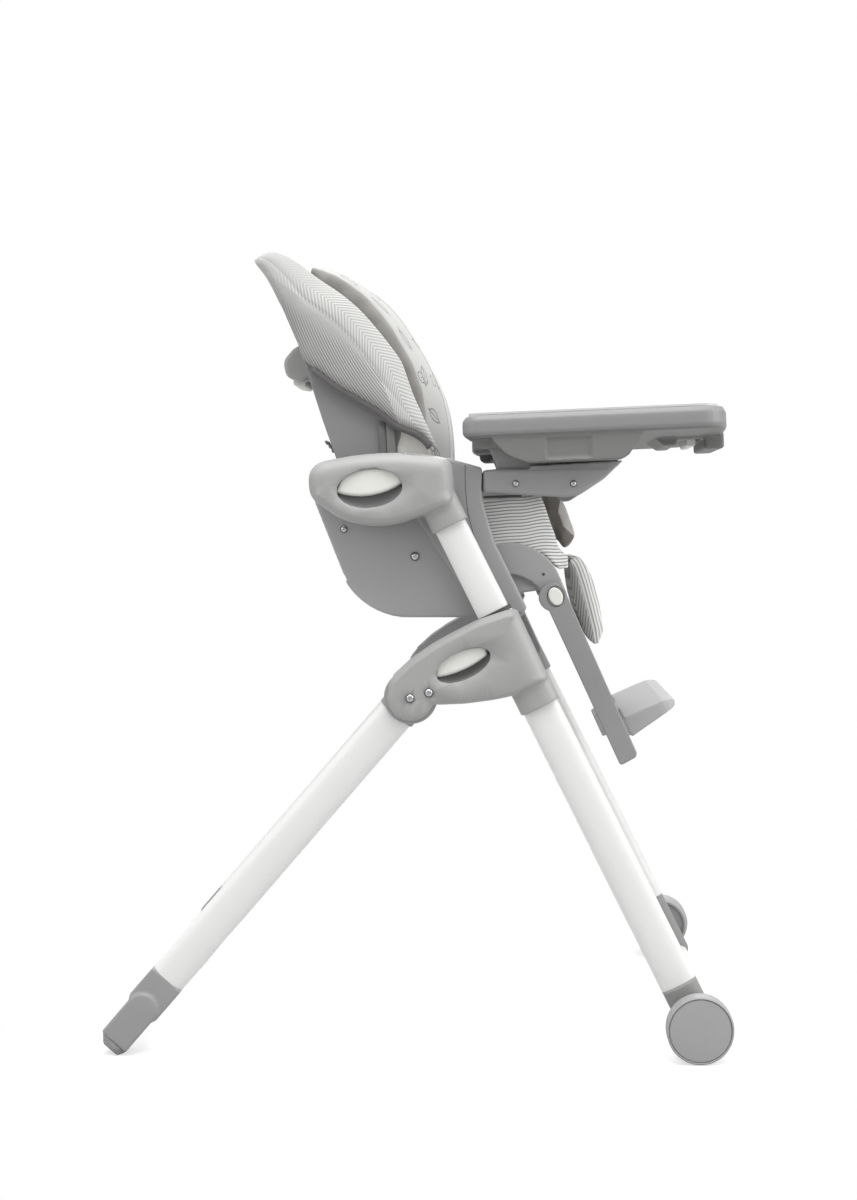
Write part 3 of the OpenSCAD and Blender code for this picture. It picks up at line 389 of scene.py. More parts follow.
def printed_cotton(name, size, base="ABABA9", ink="4E4E52", spot="E3A24A"):
    """Printed cotton: pale cloth with a loose scatter of small ink drawings and a few warm spots"""
    made, tree, shader = blank(name, Roughness=0.9, IOR=1.45, Sheen_Weight=0.25, Sheen_Roughness=0.5)
    uv = add(tree, "UVMap", uv_map="Cloth")
    wobble = add(tree, "TexNoise", {"Vector": uv, "Scale": 90.0, "Detail": 1.0}).outputs["Color"]
    by_hand = add(tree, "VectorMath", {0: wobble, 1: (4 * MM, 4 * MM, 0.0), 2: uv}, operation="MULTIPLY_ADD")
    drawn = [leaves(tree, by_hand, size), dotted_rings(tree, by_hand, size * 0.83)]
    lines = add(tree, "Math", {0: drawn[0], 1: drawn[1]}, operation="MAXIMUM")
    where = add(tree, "TexCoord").outputs["Object"]
    tint = add(tree, "TexNoise", {"Vector": where, "Scale": 25.0, "Detail": 2.0})
    cloth = shaded(tree, shader, tint, tone(base, 0.98), base)
    warmth = add(tree, "Math", {0: warm_spots(tree, uv, size * 1.9), 1: 0.7}, operation="MULTIPLY")
    warm = add(tree, "Mix", {0: warmth, 6: cloth, 7: linear(spot)}, data_type="RGBA").outputs[2]
    cover = add(tree, "Math", {0: lines, 1: 0.85}, operation="MULTIPLY")
    inked = add(tree, "Mix", {0: cover, 6: warm, 7: linear(ink)}, data_type="RGBA").outputs[2]
    tree.links.new(inked, shader.inputs["Base Color"])
    bumped(tree, shader, weave_height(tree, where, 1.2 * MM), 0.05 * MM)
    return made


def white_floor(name):
    """Seamless white studio paper: it stays white to the camera and keeps the soft shadows"""
    made = bpy.data.materials.new(name)
    made.use_nodes = True
    tree = made.node_tree
    tree.nodes.clear()
    paper = add(tree, "BsdfDiffuse", {"Color": (0.5, 0.5, 0.5, 1.0)})
    seen = add(tree, "LightPath").outputs["Is Camera Ray"]
    strength = add(tree, "Math", {0: seen, 1: 0.56}, operation="MULTIPLY")
    glow = add(tree, "Emission", {"Color": (1.0, 1.0, 1.0, 1.0), "Strength": strength})
    near = add(tree, "AddShader", {0: paper, 1: glow})
    # Pure white except round the wheels and feet, so that the paper shows no horizon
    quarter = add(tree, "VectorMath", {0: add(tree, "TexCoord").outputs["Object"]}, operation="ABSOLUTE")
    away = add(tree, "VectorMath", {0: quarter, 1: (*GROUND_CONTACT, 0.0)}, operation="DISTANCE")
    clear = add(tree, "MapRange", {"Value": away.outputs["Value"], 1: 0.04, 2: 0.24},
                interpolation_type="SMOOTHSTEP")
    white = add(tree, "Emission", {"Color": (1.0, 1.0, 1.0, 1.0), "Strength": 1.0})
    share = add(tree, "Math", {0: clear, 1: seen}, operation="MULTIPLY")
    add(tree, "OutputMaterial", {0: add(tree, "MixShader", {0: share, 1: near, 2: white})})
    return made


MATERIALS = {}


def material(key):
    """Each finish is made once and shared"""
    if key not in MATERIALS:
        MATERIALS[key] = new_material(key)
    return MATERIALS[key]


def new_material(key):
    """A finish of the chair: what it is made of, how its surface was made, and its colour"""
    sizes = bpy.context.scene.high_chair_sizes
    colours = bpy.context.scene.high_chair_colours
    # Moulded polypropylene, as a colour and a roughness: matte greys with a fine grain, the tray and the side
    # castings a little glossier, and the recesses and small dark parts duller. The shoes, the back shell's
    # ribs, the window bowls and the tray's underside get darker greys of the same plastic as painted shade
    plastics = {
        "grey": (colours.grey, 0.5),
        "shell": (colours.shell, 0.5),
        "back": ("878787", 0.5),
        # painted shade: the shell's two ribs are darker than the back shell
        "rib_painted_deep_shade": ("6A6A69", 0.5),
        "rib": ("7C7C7B", 0.5),
        "wheel": ("A0A0A0", 0.5),
        # painted shade: the shoes are darker than the grey plastic
        "shoe": ("8B8B8A", 0.5),
        "casting": ("A1A1A0", 0.42),
        "armrest": ("999999", 0.5),
        "footrest": ("8F8F8F", 0.5),
        "footplate": ("A7A7A7", 0.5),
        "tray": ("898989", 0.42),
        # painted shade: the tray's underside is drawn darker than the tray
        "tray_underside_painted_shade": ("767675", 0.5),
        # painted shade: the bowls behind the windows are darker than the castings
        "pocket_painted_shade": ("7A7A7A", 0.6),
        # The dark grey is also drawn as painted shade: in the armrest gap, in the seat arm's hole and round
        # the screw heads
        "dark": ("4A4A49", 0.6),
    }
    # Brushed or closely woven cloth, as a name, a colour and a depth of relief: flat and matte, with a soft
    # nap; the narrow weaves stand out more
    cloths = {
        "taupe": ("brushed_polyester_taupe", "8F8D8A", 0.15 * MM),
        # painted shade and painted highlight: darker and lighter copies of the taupe cloth, for the crotch
        # pad
        "taupe_painted_shade": ("brushed_polyester_taupe_painted_shade", "75716D", 0.15 * MM),
        "taupe_painted_highlight": ("brushed_polyester_taupe_painted_highlight", "BDBAB6", 0.15 * MM),
        "lining": ("brushed_cotton_lining_cream", "D9D8D2", 0.15 * MM),
        "strap": ("woven_polyester_strap_webbing", "A3A3A1", 0.15 * MM),
        "binding": ("woven_polyester_binding", "5F5D5D", 0.3 * MM),
        "webbing": ("woven_webbing_grey", "6E6E6D", 0.3 * MM),
    }
    if key in plastics:
        colour, rough = plastics[key]
        return moulded("moulded_polypropylene_" + key, colour, rough)
    if key in cloths:
        return brushed_cloth(*cloths[key])
    stripe = sizes.stripe_pitch
    others = {
        # Baked powder on steel: white and satin, with a faint orange peel
        "tube": lambda: powder_coat("powder_coated_steel_white", colours.tube),
        # Injection-moulded ABS: smooth and softly glossy
        "lever": lambda: gloss_abs("moulded_abs_off_white", colours.lever),
        "liner": lambda: gloss_abs("moulded_abs_tray_liner", "CFCFCD"),
        # Nickel on turned steel: small bright highlights
        "steel": lambda: plated_steel("nickel_plated_steel"),
        # Moulded thermoplastic rubber: the dullest of the greys, with a coarser non-slip grain
        "rubber": lambda: moulded("moulded_thermoplastic_rubber_grey", "949494", rough=0.75, grain=0.8 * MM,
                                  depth=0.06 * MM, spread=0.04),
        # Yarn-dyed cotton: its stripes are woven in, so they bend with the cloth
        "stripe": lambda: striped_cotton("yarn_dyed_cotton_striped", stripe, "8E8E8D", "EEEEEC"),
        # painted shade: the calf pad's sides take darker greys than its front; their slanted stripes are the
        # cloth's own
        "gusset_painted_shade": lambda: striped_cotton("yarn_dyed_cotton_gusset", stripe * 0.9, "7E7E7D", "BDBDBB", 0.35),
        "front_panel": lambda: striped_cotton("yarn_dyed_cotton_front_panel", stripe * 0.95, "9A9A99"),
        "herringbone": lambda: herringbone_cotton("herringbone_cotton_wing", sizes.herringbone_pitch),
        # Printed cotton: the ink lies flat on the weave
        "print": lambda: printed_cotton("printed_cotton_pale", sizes.print_size),
    }
    return others[key]()


# ---------------------------------------------------------------- meshes

def new_object(name, mesh, *finishes):
    """An object in the scene with the finishes of its faces"""
    piece = bpy.data.objects.new(name, mesh)
    bpy.context.scene.collection.objects.link(piece)
    mesh.materials.clear()
    for key in finishes:
        mesh.materials.append(material(key))
    return piece


def body_of_node(node):
    """Name of the moving body that holds a CAD node"""
    for body, nodes in frame["record"]["behaviour"]["bodies"].items():
        if node in nodes:
            return body
    raise RuntimeError("no body holds " + node)


def evaluated(piece):
    """The piece's mesh with its modifiers applied"""
    bpy.context.view_layer.update()
    graph = bpy.context.evaluated_depsgraph_get()
    mesh = bpy.data.meshes.new_from_object(piece.evaluated_get(graph), depsgraph=graph)
    old = piece.data
    piece.modifiers.clear()
    piece.data = mesh
    bpy.data.meshes.remove(old)
    return piece


def points(mesh):
    """The mesh's points as an array"""
    co = np.empty(len(mesh.vertices) * 3)
    mesh.vertices.foreach_get("co", co)
    return co.reshape(-1, 3)


def set_points(mesh, co):
    """Moves the mesh's points to an array's"""
    mesh.vertices.foreach_set("co", np.asarray(co, dtype=np.float32).ravel())
    mesh.update()


def smooth_shade(mesh, angle=180):
    """Shades the mesh smooth, except at edges sharper than an angle in degrees"""
    mesh.polygons.foreach_set("use_smooth", [True] * len(mesh.polygons))
    if angle < 180:
        mesh.set_sharp_from_angle(angle=math.radians(angle))
    mesh.update()


def copied(node):
    """A welded copy of a CAD node's mesh that stands for the node"""
    source = frame["nodes"][node]
    form = bmesh.new()
    form.from_mesh(source.data)
    bmesh.ops.remove_doubles(form, verts=form.verts, dist=0.01 * MM)
    mesh = bpy.data.meshes.new(node)
    form.to_mesh(mesh)
    form.free()
    if "custom_normal" in mesh.attributes:
        mesh.attributes.remove(mesh.attributes["custom_normal"])
    return mesh


def polished(node, key, angle):
    """A CAD part shown as it is, with rounded surfaces shaded smooth"""
    piece = new_object(node + "_finish", copied(node), key)
    smooth_shade(piece.data, angle)
    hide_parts(node)
    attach(piece, body_of_node(node))


def snapped(mesh, tree):
    """Brings points that smoothing hardly moved back onto the CAD surface, so that flats stay flat: all the
    way when they are near it, and less up to a far limit"""
    near, far = 0.12 * MM, 0.5 * MM
    co = points(mesh)
    for i, p in enumerate(co):
        hit, _, _, distance = tree.find_nearest(Vector(p))
        if hit is not None and distance < far:
            w = min(1.0, max(0.0, (distance - near) / (far - near)))
            co[i] = np.array(hit) * (1 - w) + p * w
    set_points(mesh, co)


def softened(node, key, voxel=1.5 * MM, rounds=None, sculpt=None, thin=0.5, shape=None):
    """A moulded part: the CAD form with its edges rounded as a mould leaves them. voxel is its detail, rounds
    its smoothing, shape and sculpt change its points, and thin is the share of its faces that stay"""
    rounds = rounds or bpy.context.scene.high_chair_sizes.edge_softness
    mesh = copied(node)
    tree = BVHTree.FromPolygons([v.co[:] for v in mesh.vertices], [p.vertices[:] for p in mesh.polygons])
    piece = new_object(node + "_finish", mesh, key)
    skin = piece.modifiers.new("Skin", "REMESH")
    skin.mode = "VOXEL"
    skin.voxel_size = voxel
    skin.use_smooth_shade = True
    soften = piece.modifiers.new("Soften", "SMOOTH")
    soften.factor = 0.5
    soften.iterations = rounds
    evaluated(piece)
    snapped(piece.data, tree)
    if shape:
        set_points(piece.data, shape(points(piece.data)))
    if sculpt:
        before = points(piece.data)
        shaped = sculpt(before, outer_edge(frame["nodes"][node].data, before))
        set_points(piece.data, shaped)
        # Only what the crown moved inwards is smoothed again
        moved = np.where(np.abs(before[:, 1]) - np.abs(shaped[:, 1]) > 0.03 * MM)[0]
        group = piece.vertex_groups.new(name="Crown")
        group.add(moved.tolist(), 1.0, "REPLACE")
        again = piece.modifiers.new("Again", "SMOOTH")
        again.vertex_group = "Crown"
        again.factor = 0.5
        again.iterations = CROWN_ROUNDS
        evaluated(piece)
    fewer = piece.modifiers.new("Fewer", "DECIMATE")
    fewer.ratio = thin
    evaluated(piece)
    piece.data.materials.clear()
    piece.data.materials.append(material(key))
    smooth_shade(piece.data)
    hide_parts(node)
    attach(piece, body_of_node(node))
    return piece


def spread(cells):
    """A grid's marked cells and their neighbours on all four sides"""
    grown = cells.copy()
    grown[1:] |= cells[:-1]
    grown[:-1] |= cells[1:]
    grown[:, 1:] |= cells[:, :-1]
    grown[:, :-1] |= cells[:, 1:]
    return grown


def outer_edge(mesh, cloud):
    """Points and outward directions (x, z, nx, nz) along the outline of a side casting in the side view;
    cloud is a dense set of points of the same casting, which marks what lies inside that outline"""
    step, cell = 1 * MM, 3 * MM
    form = bmesh.new()
    form.from_mesh(mesh)
    bmesh.ops.remove_doubles(form, verts=form.verts, dist=0.01 * MM)
    form.normal_update()
    side = 1 if sum(v.co.y for v in form.verts) > 0 else -1
    spots = []
    for edge in form.edges:
        walls = [f for f in edge.link_faces if abs(f.normal.y) < 0.05]
        tops = [f for f in edge.link_faces if f.normal.y * side > 0.05]
        if len(walls) == 1 and len(tops) == 1:
            a, b = (v.co for v in edge.verts)
            count = max(1, int((b - a).length / step))
            for k in range(count + 1):
                p = a.lerp(b, k / count)
                spots.append((p.x, p.z, walls[0].normal.x, walls[0].normal.z))
    form.free()
    spots = np.array(spots)
    low = spots[:, :2].min(axis=0)
    grid = ((spots[:, :2] - low) / cell).astype(int) + 2
    full = np.zeros(grid.max(axis=0) + 3, bool)
    full[grid[:, 0], grid[:, 1]] = True
    within = np.clip(((cloud[:, [0, 2]] - low) / cell + 2).astype(int), 2, np.array(full.shape) - 3)
    full[within[:, 0], within[:, 1]] = True
    # What is outside is reached from one edge of the grid, and the outline is what lies beside it
    free = np.zeros_like(full)
    free[0, :] = True
    for _ in range(2 * sum(full.shape)):
        free = spread(free) & ~full
    return spots[spread(free)[grid[:, 0], grid[:, 1]]]


def domed(reach_of, base_y, collar_y, collar_half):
    """Sculpts a casting's flat outer face into a crown: reach_of gives how far the rounding goes in from the
    outline and how deep it drops, for outward directions; the collar round the leg tube keeps its height"""
    def sculpt(co, outline):
        out = co.copy()
        high = np.where(np.abs(co[:, 1]) > base_y)[0]
        for part in np.array_split(high, max(1, len(high) // 4000)):
            gap = co[part][:, None, [0, 2]] - outline[None, :, :2]
            far = np.einsum("ijk,ijk->ij", gap, gap)
            nearest = far.argmin(axis=1)
            d = np.sqrt(far[np.arange(len(part)), nearest])
            reach, depth = reach_of(outline[nearest, 2:])
            drop = depth * (1 - np.sqrt(1 - (1 - np.minimum(d / reach, 1)) ** 2))
            y = np.abs(co[part, 1])
            top = np.abs(co[high, 1]).max()
            lowered = base_y + (y - base_y) * (1 - drop / (top - base_y))
            across = ((co[part, 0] - LEG_POINT[0]) * LEG_ACROSS[0]
                      + (co[part, 2] - LEG_POINT[1]) * LEG_ACROSS[1])
            arch = np.sqrt(np.maximum(0.0, 1 - (across / collar_half) ** 2))
            kept = np.minimum(y, base_y + (collar_y - base_y) * arch)
            flat = (d > reach) & (y > top - 1.2 * MM)
            out[part, 1] = np.where(flat, top, np.maximum(lowered, kept)) * np.sign(co[part, 1])
        return out
    return sculpt


def hub_reach(normals):
    """Nearly sharp below, a small rounding above, and a broad one towards the front of the leg"""
    front = ease((normals @ LEG_ACROSS - 0.6) / 0.35)
    below = ease((-normals[:, 1] - 0.5) / 0.4) * (1 - front)
    reach = (9 + 15 * front - 5 * below) * MM
    return reach, (8 + 11 * front - 4 * below) * MM


def carriage_reach(normals):
    """A broad crown above and at the front, a small rounding below"""
    front = ease((normals @ LEG_ACROSS - 0.6) / 0.35)
    below = ease((-normals[:, 1] - 0.3) / 0.5) * (1 - front)
    reach = (23 - front - 14 * below) * MM
    return reach, (18 + front - 10 * below) * MM


def mirrored(piece, node):
    """The same piece on the other side of the chair, where it stands for a node of its own"""
    mesh = piece.data.copy()
    co = points(mesh)
    co[:, 1] *= -1
    set_points(mesh, co)
    mesh.flip_normals()
    twin = bpy.data.objects.new(node + "_finish", mesh)
    bpy.context.scene.collection.objects.link(twin)
    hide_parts(node)
    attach(twin, body_of_node(node))


def softened_pair(stem, key, **how):
    """Both sides of a part that comes in a left and a right"""
    mirrored(softened(stem + "_right", key, **how), stem + "_left")


def polished_pair(stem, key, angle):
    """Both sides of a CAD part shown as it is"""
    for side in SIDES:
        polished(f"{stem}_{side}", key, angle)


def loft(name, rings, keys, uvs=None, wrap=True, caps=True, closed=False, slot=None, more=None):
    """Skin over rings with the same number of points. wrap joins the ends of each ring, closed joins the last
    ring to the first, slot(i, j) picks a face's finish, and uvs and more hold its cloth coordinates"""
    rings = np.asarray(rings, float)
    n, m = rings.shape[:2]
    faces, corners, slots = [], [], []
    columns = m if wrap else m - 1
    for i in range(n if closed else n - 1):
        up = (i + 1) % n
        for j in range(columns):
            over = (j + 1) % m
            faces.append((i * m + j, i * m + over, up * m + over, up * m + j))
            corners.append(((i, j), (i, j + 1), (i + 1, j + 1), (i + 1, j)))
            slots.append(slot(i, j) if slot else 0)
    if caps and wrap and not closed:
        faces.append(tuple(range(m))[::-1])
        corners.append(tuple((0, j) for j in range(m))[::-1])
        slots.append(slot(0, 0) if slot else 0)
        faces.append(tuple((n - 1) * m + j for j in range(m)))
        corners.append(tuple((n - 1, j) for j in range(m)))
        slots.append(slot(n - 2, 0) if slot else 0)
    mesh = bpy.data.meshes.new(name)
    mesh.from_pydata(rings.reshape(-1, 3).tolist(), [], faces)
    layers = dict(more or {})
    if uvs is not None:
        layers["Cloth"] = uvs
    for title, grid in layers.items():
        layer = mesh.uv_layers.new(name=title)
        flat = [grid[min(i, len(grid) - 1)][j] for face in corners for i, j in face]
        layer.data.foreach_set("uv", np.asarray(flat, dtype=np.float32).ravel())
    mesh.validate()
    piece = new_object(name, mesh, *keys)
    mesh.polygons.foreach_set("material_index", slots)
    smooth_shade(mesh)
    return piece


def spline(knots, count, closed=False):
    """Even points along a smooth curve through the knots (Catmull-Rom), in as many dimensions as they have"""
    p = np.asarray(knots, float)
    if closed:
        p = np.vstack([p[-1], p, p[0], p[1]])
    else:
        p = np.vstack([2 * p[0] - p[1], p, 2 * p[-1] - p[-2]])
    dense = []
    for i in range(1, len(p) - 2):
        for t in np.linspace(0, 1, 24, endpoint=False):
            a, b, c, d = p[i - 1], p[i], p[i + 1], p[i + 2]
            dense.append(0.5 * ((2 * b) + (c - a) * t + (2 * a - 5 * b + 4 * c - d) * t ** 2
                                + (3 * b - a - 3 * c + d) * t ** 3))
    if not closed:
        dense.append(p[-2])
    dense = np.array(dense)
    if closed:
        dense = np.vstack([dense, dense[0]])
    steps = lengths(dense)
    where = np.linspace(0, steps[-1], count + 1)[:-1] if closed else np.linspace(0, steps[-1], count)
    return np.stack([np.interp(where, steps, dense[:, k]) for k in range(dense.shape[1])], axis=1)


def lengths(path):
    """Distance along a path to each of its points"""
    return np.r_[0, np.cumsum(np.linalg.norm(np.diff(path, axis=0), axis=1))]


def ease(t):
    """Smooth step from 0 to 1"""
    t = np.clip(t, 0, 1)
    return t * t * (3 - 2 * t)


def subdivided(piece):
    """Rounds a piece by one level of subdivision"""
    finer = piece.modifiers.new("Finer", "SUBSURF")
    finer.levels = 1
    finer.render_levels = 1
    finer.boundary_smooth = "PRESERVE_CORNERS"
    evaluated(piece)
    smooth_shade(piece.data)


def rippled(piece, height, size, seed, share_of=None):
    """Rounds a soft piece, then moves its points along their normals by soft noise of a real size, as cloth
    ripples; share_of gives each point's share of that, from its place"""
    subdivided(piece)
    co = points(piece.data)
    normals = np.empty(co.size)
    piece.data.vertices.foreach_get("normal", normals)
    normals = normals.reshape(-1, 3)
    shares = np.ones(len(co)) if share_of is None else share_of(co)
    out = co.copy()
    for i, share in enumerate(shares):
        if share > 0:
            n = noise.noise(Vector(co[i]) / size + Vector((seed, seed * 2, 0.0)))
            out[i] += normals[i] * n * height * share
    set_points(piece.data, out)


# ---------------------------------------------------------------- rigid parts

def make_frame():
    """Tubes of the legs and the seat, the crossbars, and the dark bushes and glides"""
    for stem in ("front_leg", "rear_leg", "seat_tube"):
        polished_pair(stem, "tube", angle=60)
    for node in ("front_crossbar", "rear_crossbar"):
        polished(node, "tube", angle=60)
    for node in ("front_leg_bushes", "seat_tube_glides"):
        polished(node, "dark", angle=60)


def make_wheels():
    """Front wheels with their caps and axles"""
    polished_pair("wheel", "wheel", angle=40)
    polished_pair("wheel_cap", "wheel", angle=20)
    polished("wheel_axles", "steel", angle=40)


def make_hubs():
    """Folding hubs, the sockets of the rear legs and the fold levers"""
    crown = domed(hub_reach, base_y=0.243, collar_y=0.2565, collar_half=0.0273)
    softened_pair("hub_outer", "casting", voxel=1.4 * MM, sculpt=crown)
    softened_pair("hub_inner", "grey", voxel=2 * MM)
    softened_pair("rear_socket", "grey", voxel=1.6 * MM, rounds=4)
    softened_pair("fold_lever", "lever", voxel=1 * MM, rounds=8)
    window_bowl("hub_window_bowl", (0.053, 0.504), 75 * MM, 36 * MM, math.radians(25), "base")


def window_bowl(name, centre, length, height, turn, body):
    """Shallow bowl behind a lens-shaped window, where the fingers reach for the lever; its darker grey is
    painted shade in the recess
    """
    # Shares of the window's half size and of the bowl's depth, from the rim inwards
    profile = [(1.06, 0.74), (1.0, 0.66), (0.93, 0.5), (0.82, 0.3), (0.66, 0.12), (0.45, 0.03), (0.2, 0.0),
               (0.01, 0.0)]
    for side, s in SIDES.items():
        rings = []
        for reach, rise in profile:
            ring = []
            for a in np.linspace(0, math.tau, 48, endpoint=False):
                u = length / 2 * reach * math.cos(a)
                v = height / 2 * reach * math.sin(a)
                lip = rise * ease(0.5 - 1.6 * math.sin(a)) * 12.5 * MM
                ring.append((centre[0] + u * math.cos(turn) - v * math.sin(turn), s * (0.246 + lip),
                             centre[1] + u * math.sin(turn) + v * math.cos(turn)))
            rings.append(ring)
        bowl = loft(f"{name}_{side}", rings, ["pocket_painted_shade"], caps=False)
        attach(bowl, body)


def thin_line(name, path, y, body, width, closed=False):
    """Dark line that lies on a side face, along a path in the side view: a parting line, or painted
    shade in a gap or a hole
    """
    path = np.asarray(path, float)
    if closed:
        along = np.roll(path, -1, axis=0) - np.roll(path, 1, axis=0)
    else:
        along = np.vstack([path[1:], path[-1]]) - np.vstack([path[0], path[:-1]])
    square = np.stack([-along[:, 1], along[:, 0]], axis=1)
    across = square / np.linalg.norm(along, axis=1)[:, None] * width / 2
    crest = 0.15 * MM
    for side, s in SIDES.items():
        rings = [[(p[0] - w[0], s * y, p[1] - w[1]),
                  (p[0], s * (y + crest), p[1]),
                  (p[0] + w[0], s * y, p[1] + w[1])] for p, w in zip(path, across)]
        line = loft(f"{name}_{side}", rings, ["dark"], wrap=False, closed=closed, caps=False)
        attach(line, body)


def box_middle(low, high):
    """Middle of a box in the side view"""
    return (low.x + high.x) / 2, (low.z + high.z) / 2


def oval(x, z, width, height, count=48):
    """Points of an ellipse in the side view"""
    a = np.linspace(0, math.tau, count, endpoint=False)
    return np.stack([x + width / 2 * np.cos(a), z + height / 2 * np.sin(a)], axis=1)


def make_feet():
    """Shoes of the front legs, and the rear feet with their rubber pads"""
    # The shoes' darker grey is painted shade low by the floor
    softened_pair("front_shoe", "shoe", voxel=1.6 * MM)
    softened_pair("rear_foot", "grey", voxel=1.6 * MM)
    softened("rear_foot_pads", "rubber", voxel=1.5 * MM, rounds=3)


def make_carriages():
    """Castings that slide on the front legs and carry the seat, and their levers"""
    crown = domed(carriage_reach, base_y=0.242, collar_y=0.253, collar_half=0.025)
    softened_pair("carriage_outer", "casting", voxel=1.4 * MM, rounds=8, sculpt=crown)
    softened_pair("carriage_inner", "armrest", voxel=2 * MM, rounds=6)
    softened_pair("height_lever", "lever", voxel=1 * MM, rounds=8)
    window_bowl("carriage_window_bowl", (-0.067, 0.730), 84 * MM, 49 * MM, math.radians(6), "carriage")


def make_seat_shell():
    """Seat shell and armrests, with painted shadow in the gap at each armrest, and the bracket's seam"""
    softened("seat_shell", "shell", voxel=2 * MM, rounds=4, thin=0.4)
    softened_pair("armrest", "armrest", voxel=1.6 * MM)
    gap = [(0.077, 0.7205), (0.10, 0.7215), (0.128, 0.7225)]
    # Dark strip in the gap under the armrest: painted shadow
    thin_line("armrest_shadow_gap", gap, SHADOW_GAP_Y, "carriage", width=3.4 * MM)
    seam = [(0.0535, 0.763), (0.0535, 0.75), (0.054, 0.73), (0.057, 0.70), (0.066, 0.665)]
    thin_line("bracket_seam", seam, BRACKET_Y, "carriage", width=0.8 * MM)


def tray_height(point):
    """Height of a point above the tray's origin, square to the tray's own tilted plane"""
    tilt = math.radians(TRAY_TILT)
    return (point[2] - TRAY_ORIGIN[1]) * math.cos(tilt) - (point[0] - TRAY_ORIGIN[0]) * math.sin(tilt)


def round_rim(co):
    """Rolls the outer top edge of the tray inwards, as its broad soft rim does"""
    low, high = co.min(axis=0), co.max(axis=0)
    up = tray_height(co.T)
    radius, thick = 15 * MM, 13 * MM
    roundness = 0.34
    t = np.clip((up - (up.max() - radius)) / radius, 0, 1)
    pull = roundness * radius * (1 - np.sqrt(1 - (0.98 * t) ** 2))
    out = co.copy()
    for axis in (0, 1):
        for edge, sign in ((high[axis], -1), (low[axis], 1)):
            near = np.clip(1 - np.abs(co[:, axis] - edge) / thick, 0, 1)
            out[:, axis] += sign * pull * ease(near * 1.4)
    return out


def make_tray():
    """Tray with painted shade on its underside, its white liner and its latch"""
    underside = 3 * MM
    base = softened("tray_base", "tray", voxel=1.6 * MM, rounds=8, thin=0.4, shape=round_rim)
    # Faces low on the tray get a darker grey: painted shade under its rim
    base.data.materials.append(material("tray_underside_painted_shade"))
    for face in base.data.polygons:
        if tray_height(face.center) < underside:
            face.material_index = 1
    polished("tray_insert", "liner", angle=50)
    softened("tray_latch", "lever", voxel=1 * MM)


def make_footrest():
    """Footrest arms with their buttons, the panel and the footplate"""
    softened_pair("footrest_arm", "footrest", voxel=1.2 * MM, rounds=6)
    softened_pair("footrest_button", "lever", voxel=0.7 * MM, rounds=4)
    softened("footrest_panel", "shell", voxel=1.6 * MM, rounds=4)
    softened("footplate", "footplate", voxel=1.5 * MM, rounds=6)
    low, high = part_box("footrest_button_left")
    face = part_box("footrest_arm_left")[1].y
    gap = 3 * MM
    ring = oval(*box_middle(low, high), high.x - low.x + gap, high.z - low.z + gap)
    thin_line("button_ring", ring, face + 0.05 * MM, "footrest", width=1.1 * MM, closed=True)
    # Dark dot in the seat arm's hole: painted shade
    hole = 2.2 * MM
    thin_line("seat_arm_hole", oval(0.157, 0.618, hole, hole, count=12), SEAT_ARM_Y, "carriage", width=hole,
              closed=True)


def make_back_shell():
    """Back shell, with the recline handle and its trigger"""
    softened("back_shell", "back", voxel=2 * MM, rounds=5, thin=0.4)
    softened("recline_handle", "casting", voxel=1.3 * MM, rounds=60)
    softened("recline_trigger", "lever", voxel=1 * MM)


def button_head(name, x, y, z, side, body, radius=5.0 * MM, height=2.4 * MM):
    """Domed screw head with a hexagon socket, in a dark ring that is painted shade in its countersink"""
    # Shares of the radius and of the height, from the socket's floor to the rim
    profile = [(0.0, 0.35), (0.42, 0.35), (0.44, 0.98), (0.6, 0.92), (0.85, 0.62), (1.0, 0.12), (1.02, 0.0)]
    turns = [math.tau * k / 24 for k in range(24)]
    rings = []
    for a in turns:
        ring = []
        for i, (r, h) in enumerate(profile):
            flat = radius * r
            if i in (1, 2):
                flat *= math.cos(math.pi / 6) / math.cos((a % (math.pi / 3)) - math.pi / 6)
            ring.append((x + flat * math.cos(a), y + side * h * height, z + flat * math.sin(a)))
        rings.append(ring)
    head = loft(name, rings, ["steel"], wrap=False, closed=True, caps=False)
    smooth_shade(head.data, 40)
    # Dark ring round the head: painted shade in the countersink
    rim = [(1.0, 0.1 * MM), (1.02, 0.3 * MM), (1.14, 0.3 * MM), (1.18, 0.0)]
    well = [[(x + radius * r * math.cos(a), y + side * h, z + radius * r * math.sin(a)) for r, h in rim]
            for a in turns]
    ring = loft(name + "_ring", well, ["dark"], wrap=False, closed=True, caps=False)
    for piece in (head, ring):
        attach(piece, body)


def make_screws():
    """Pivots and screws, with their heads on both sides"""
    for node in ("fold_pivots", "hub_screws", "seat_screws", "recline_pivots"):
        polished(node, "steel", angle=40)
    on_pivots = [
        ("fold_bolt_head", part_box("fold_pivots"), "base"),
        ("hub_screw_head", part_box("hub_screws"), "base"),
        ("recline_screw_head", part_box("recline_pivots"), "carriage"),
    ]
    low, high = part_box("seat_screws")
    bracket_y = 0.195 + 1.6 * MM
    for side, s in SIDES.items():
        for stem, box, body in on_pivots:
            x, z = box_middle(*box)
            button_head(f"{stem}_{side}", x, s * box[1].y, z, s, body)
        button_head(f"seat_screw_head_{side}", low.x + 5 * MM, s * bracket_y, low.z + 5 * MM, s, "carriage",
                    radius=4.2 * MM)
        for k, x in enumerate((0.120, 0.196)):
            button_head(f"armrest_screw_head_{side}_{k}", x, s * high.y, 0.738, s, "carriage", radius=4 * MM)


# ---------------------------------------------------------------- soft parts

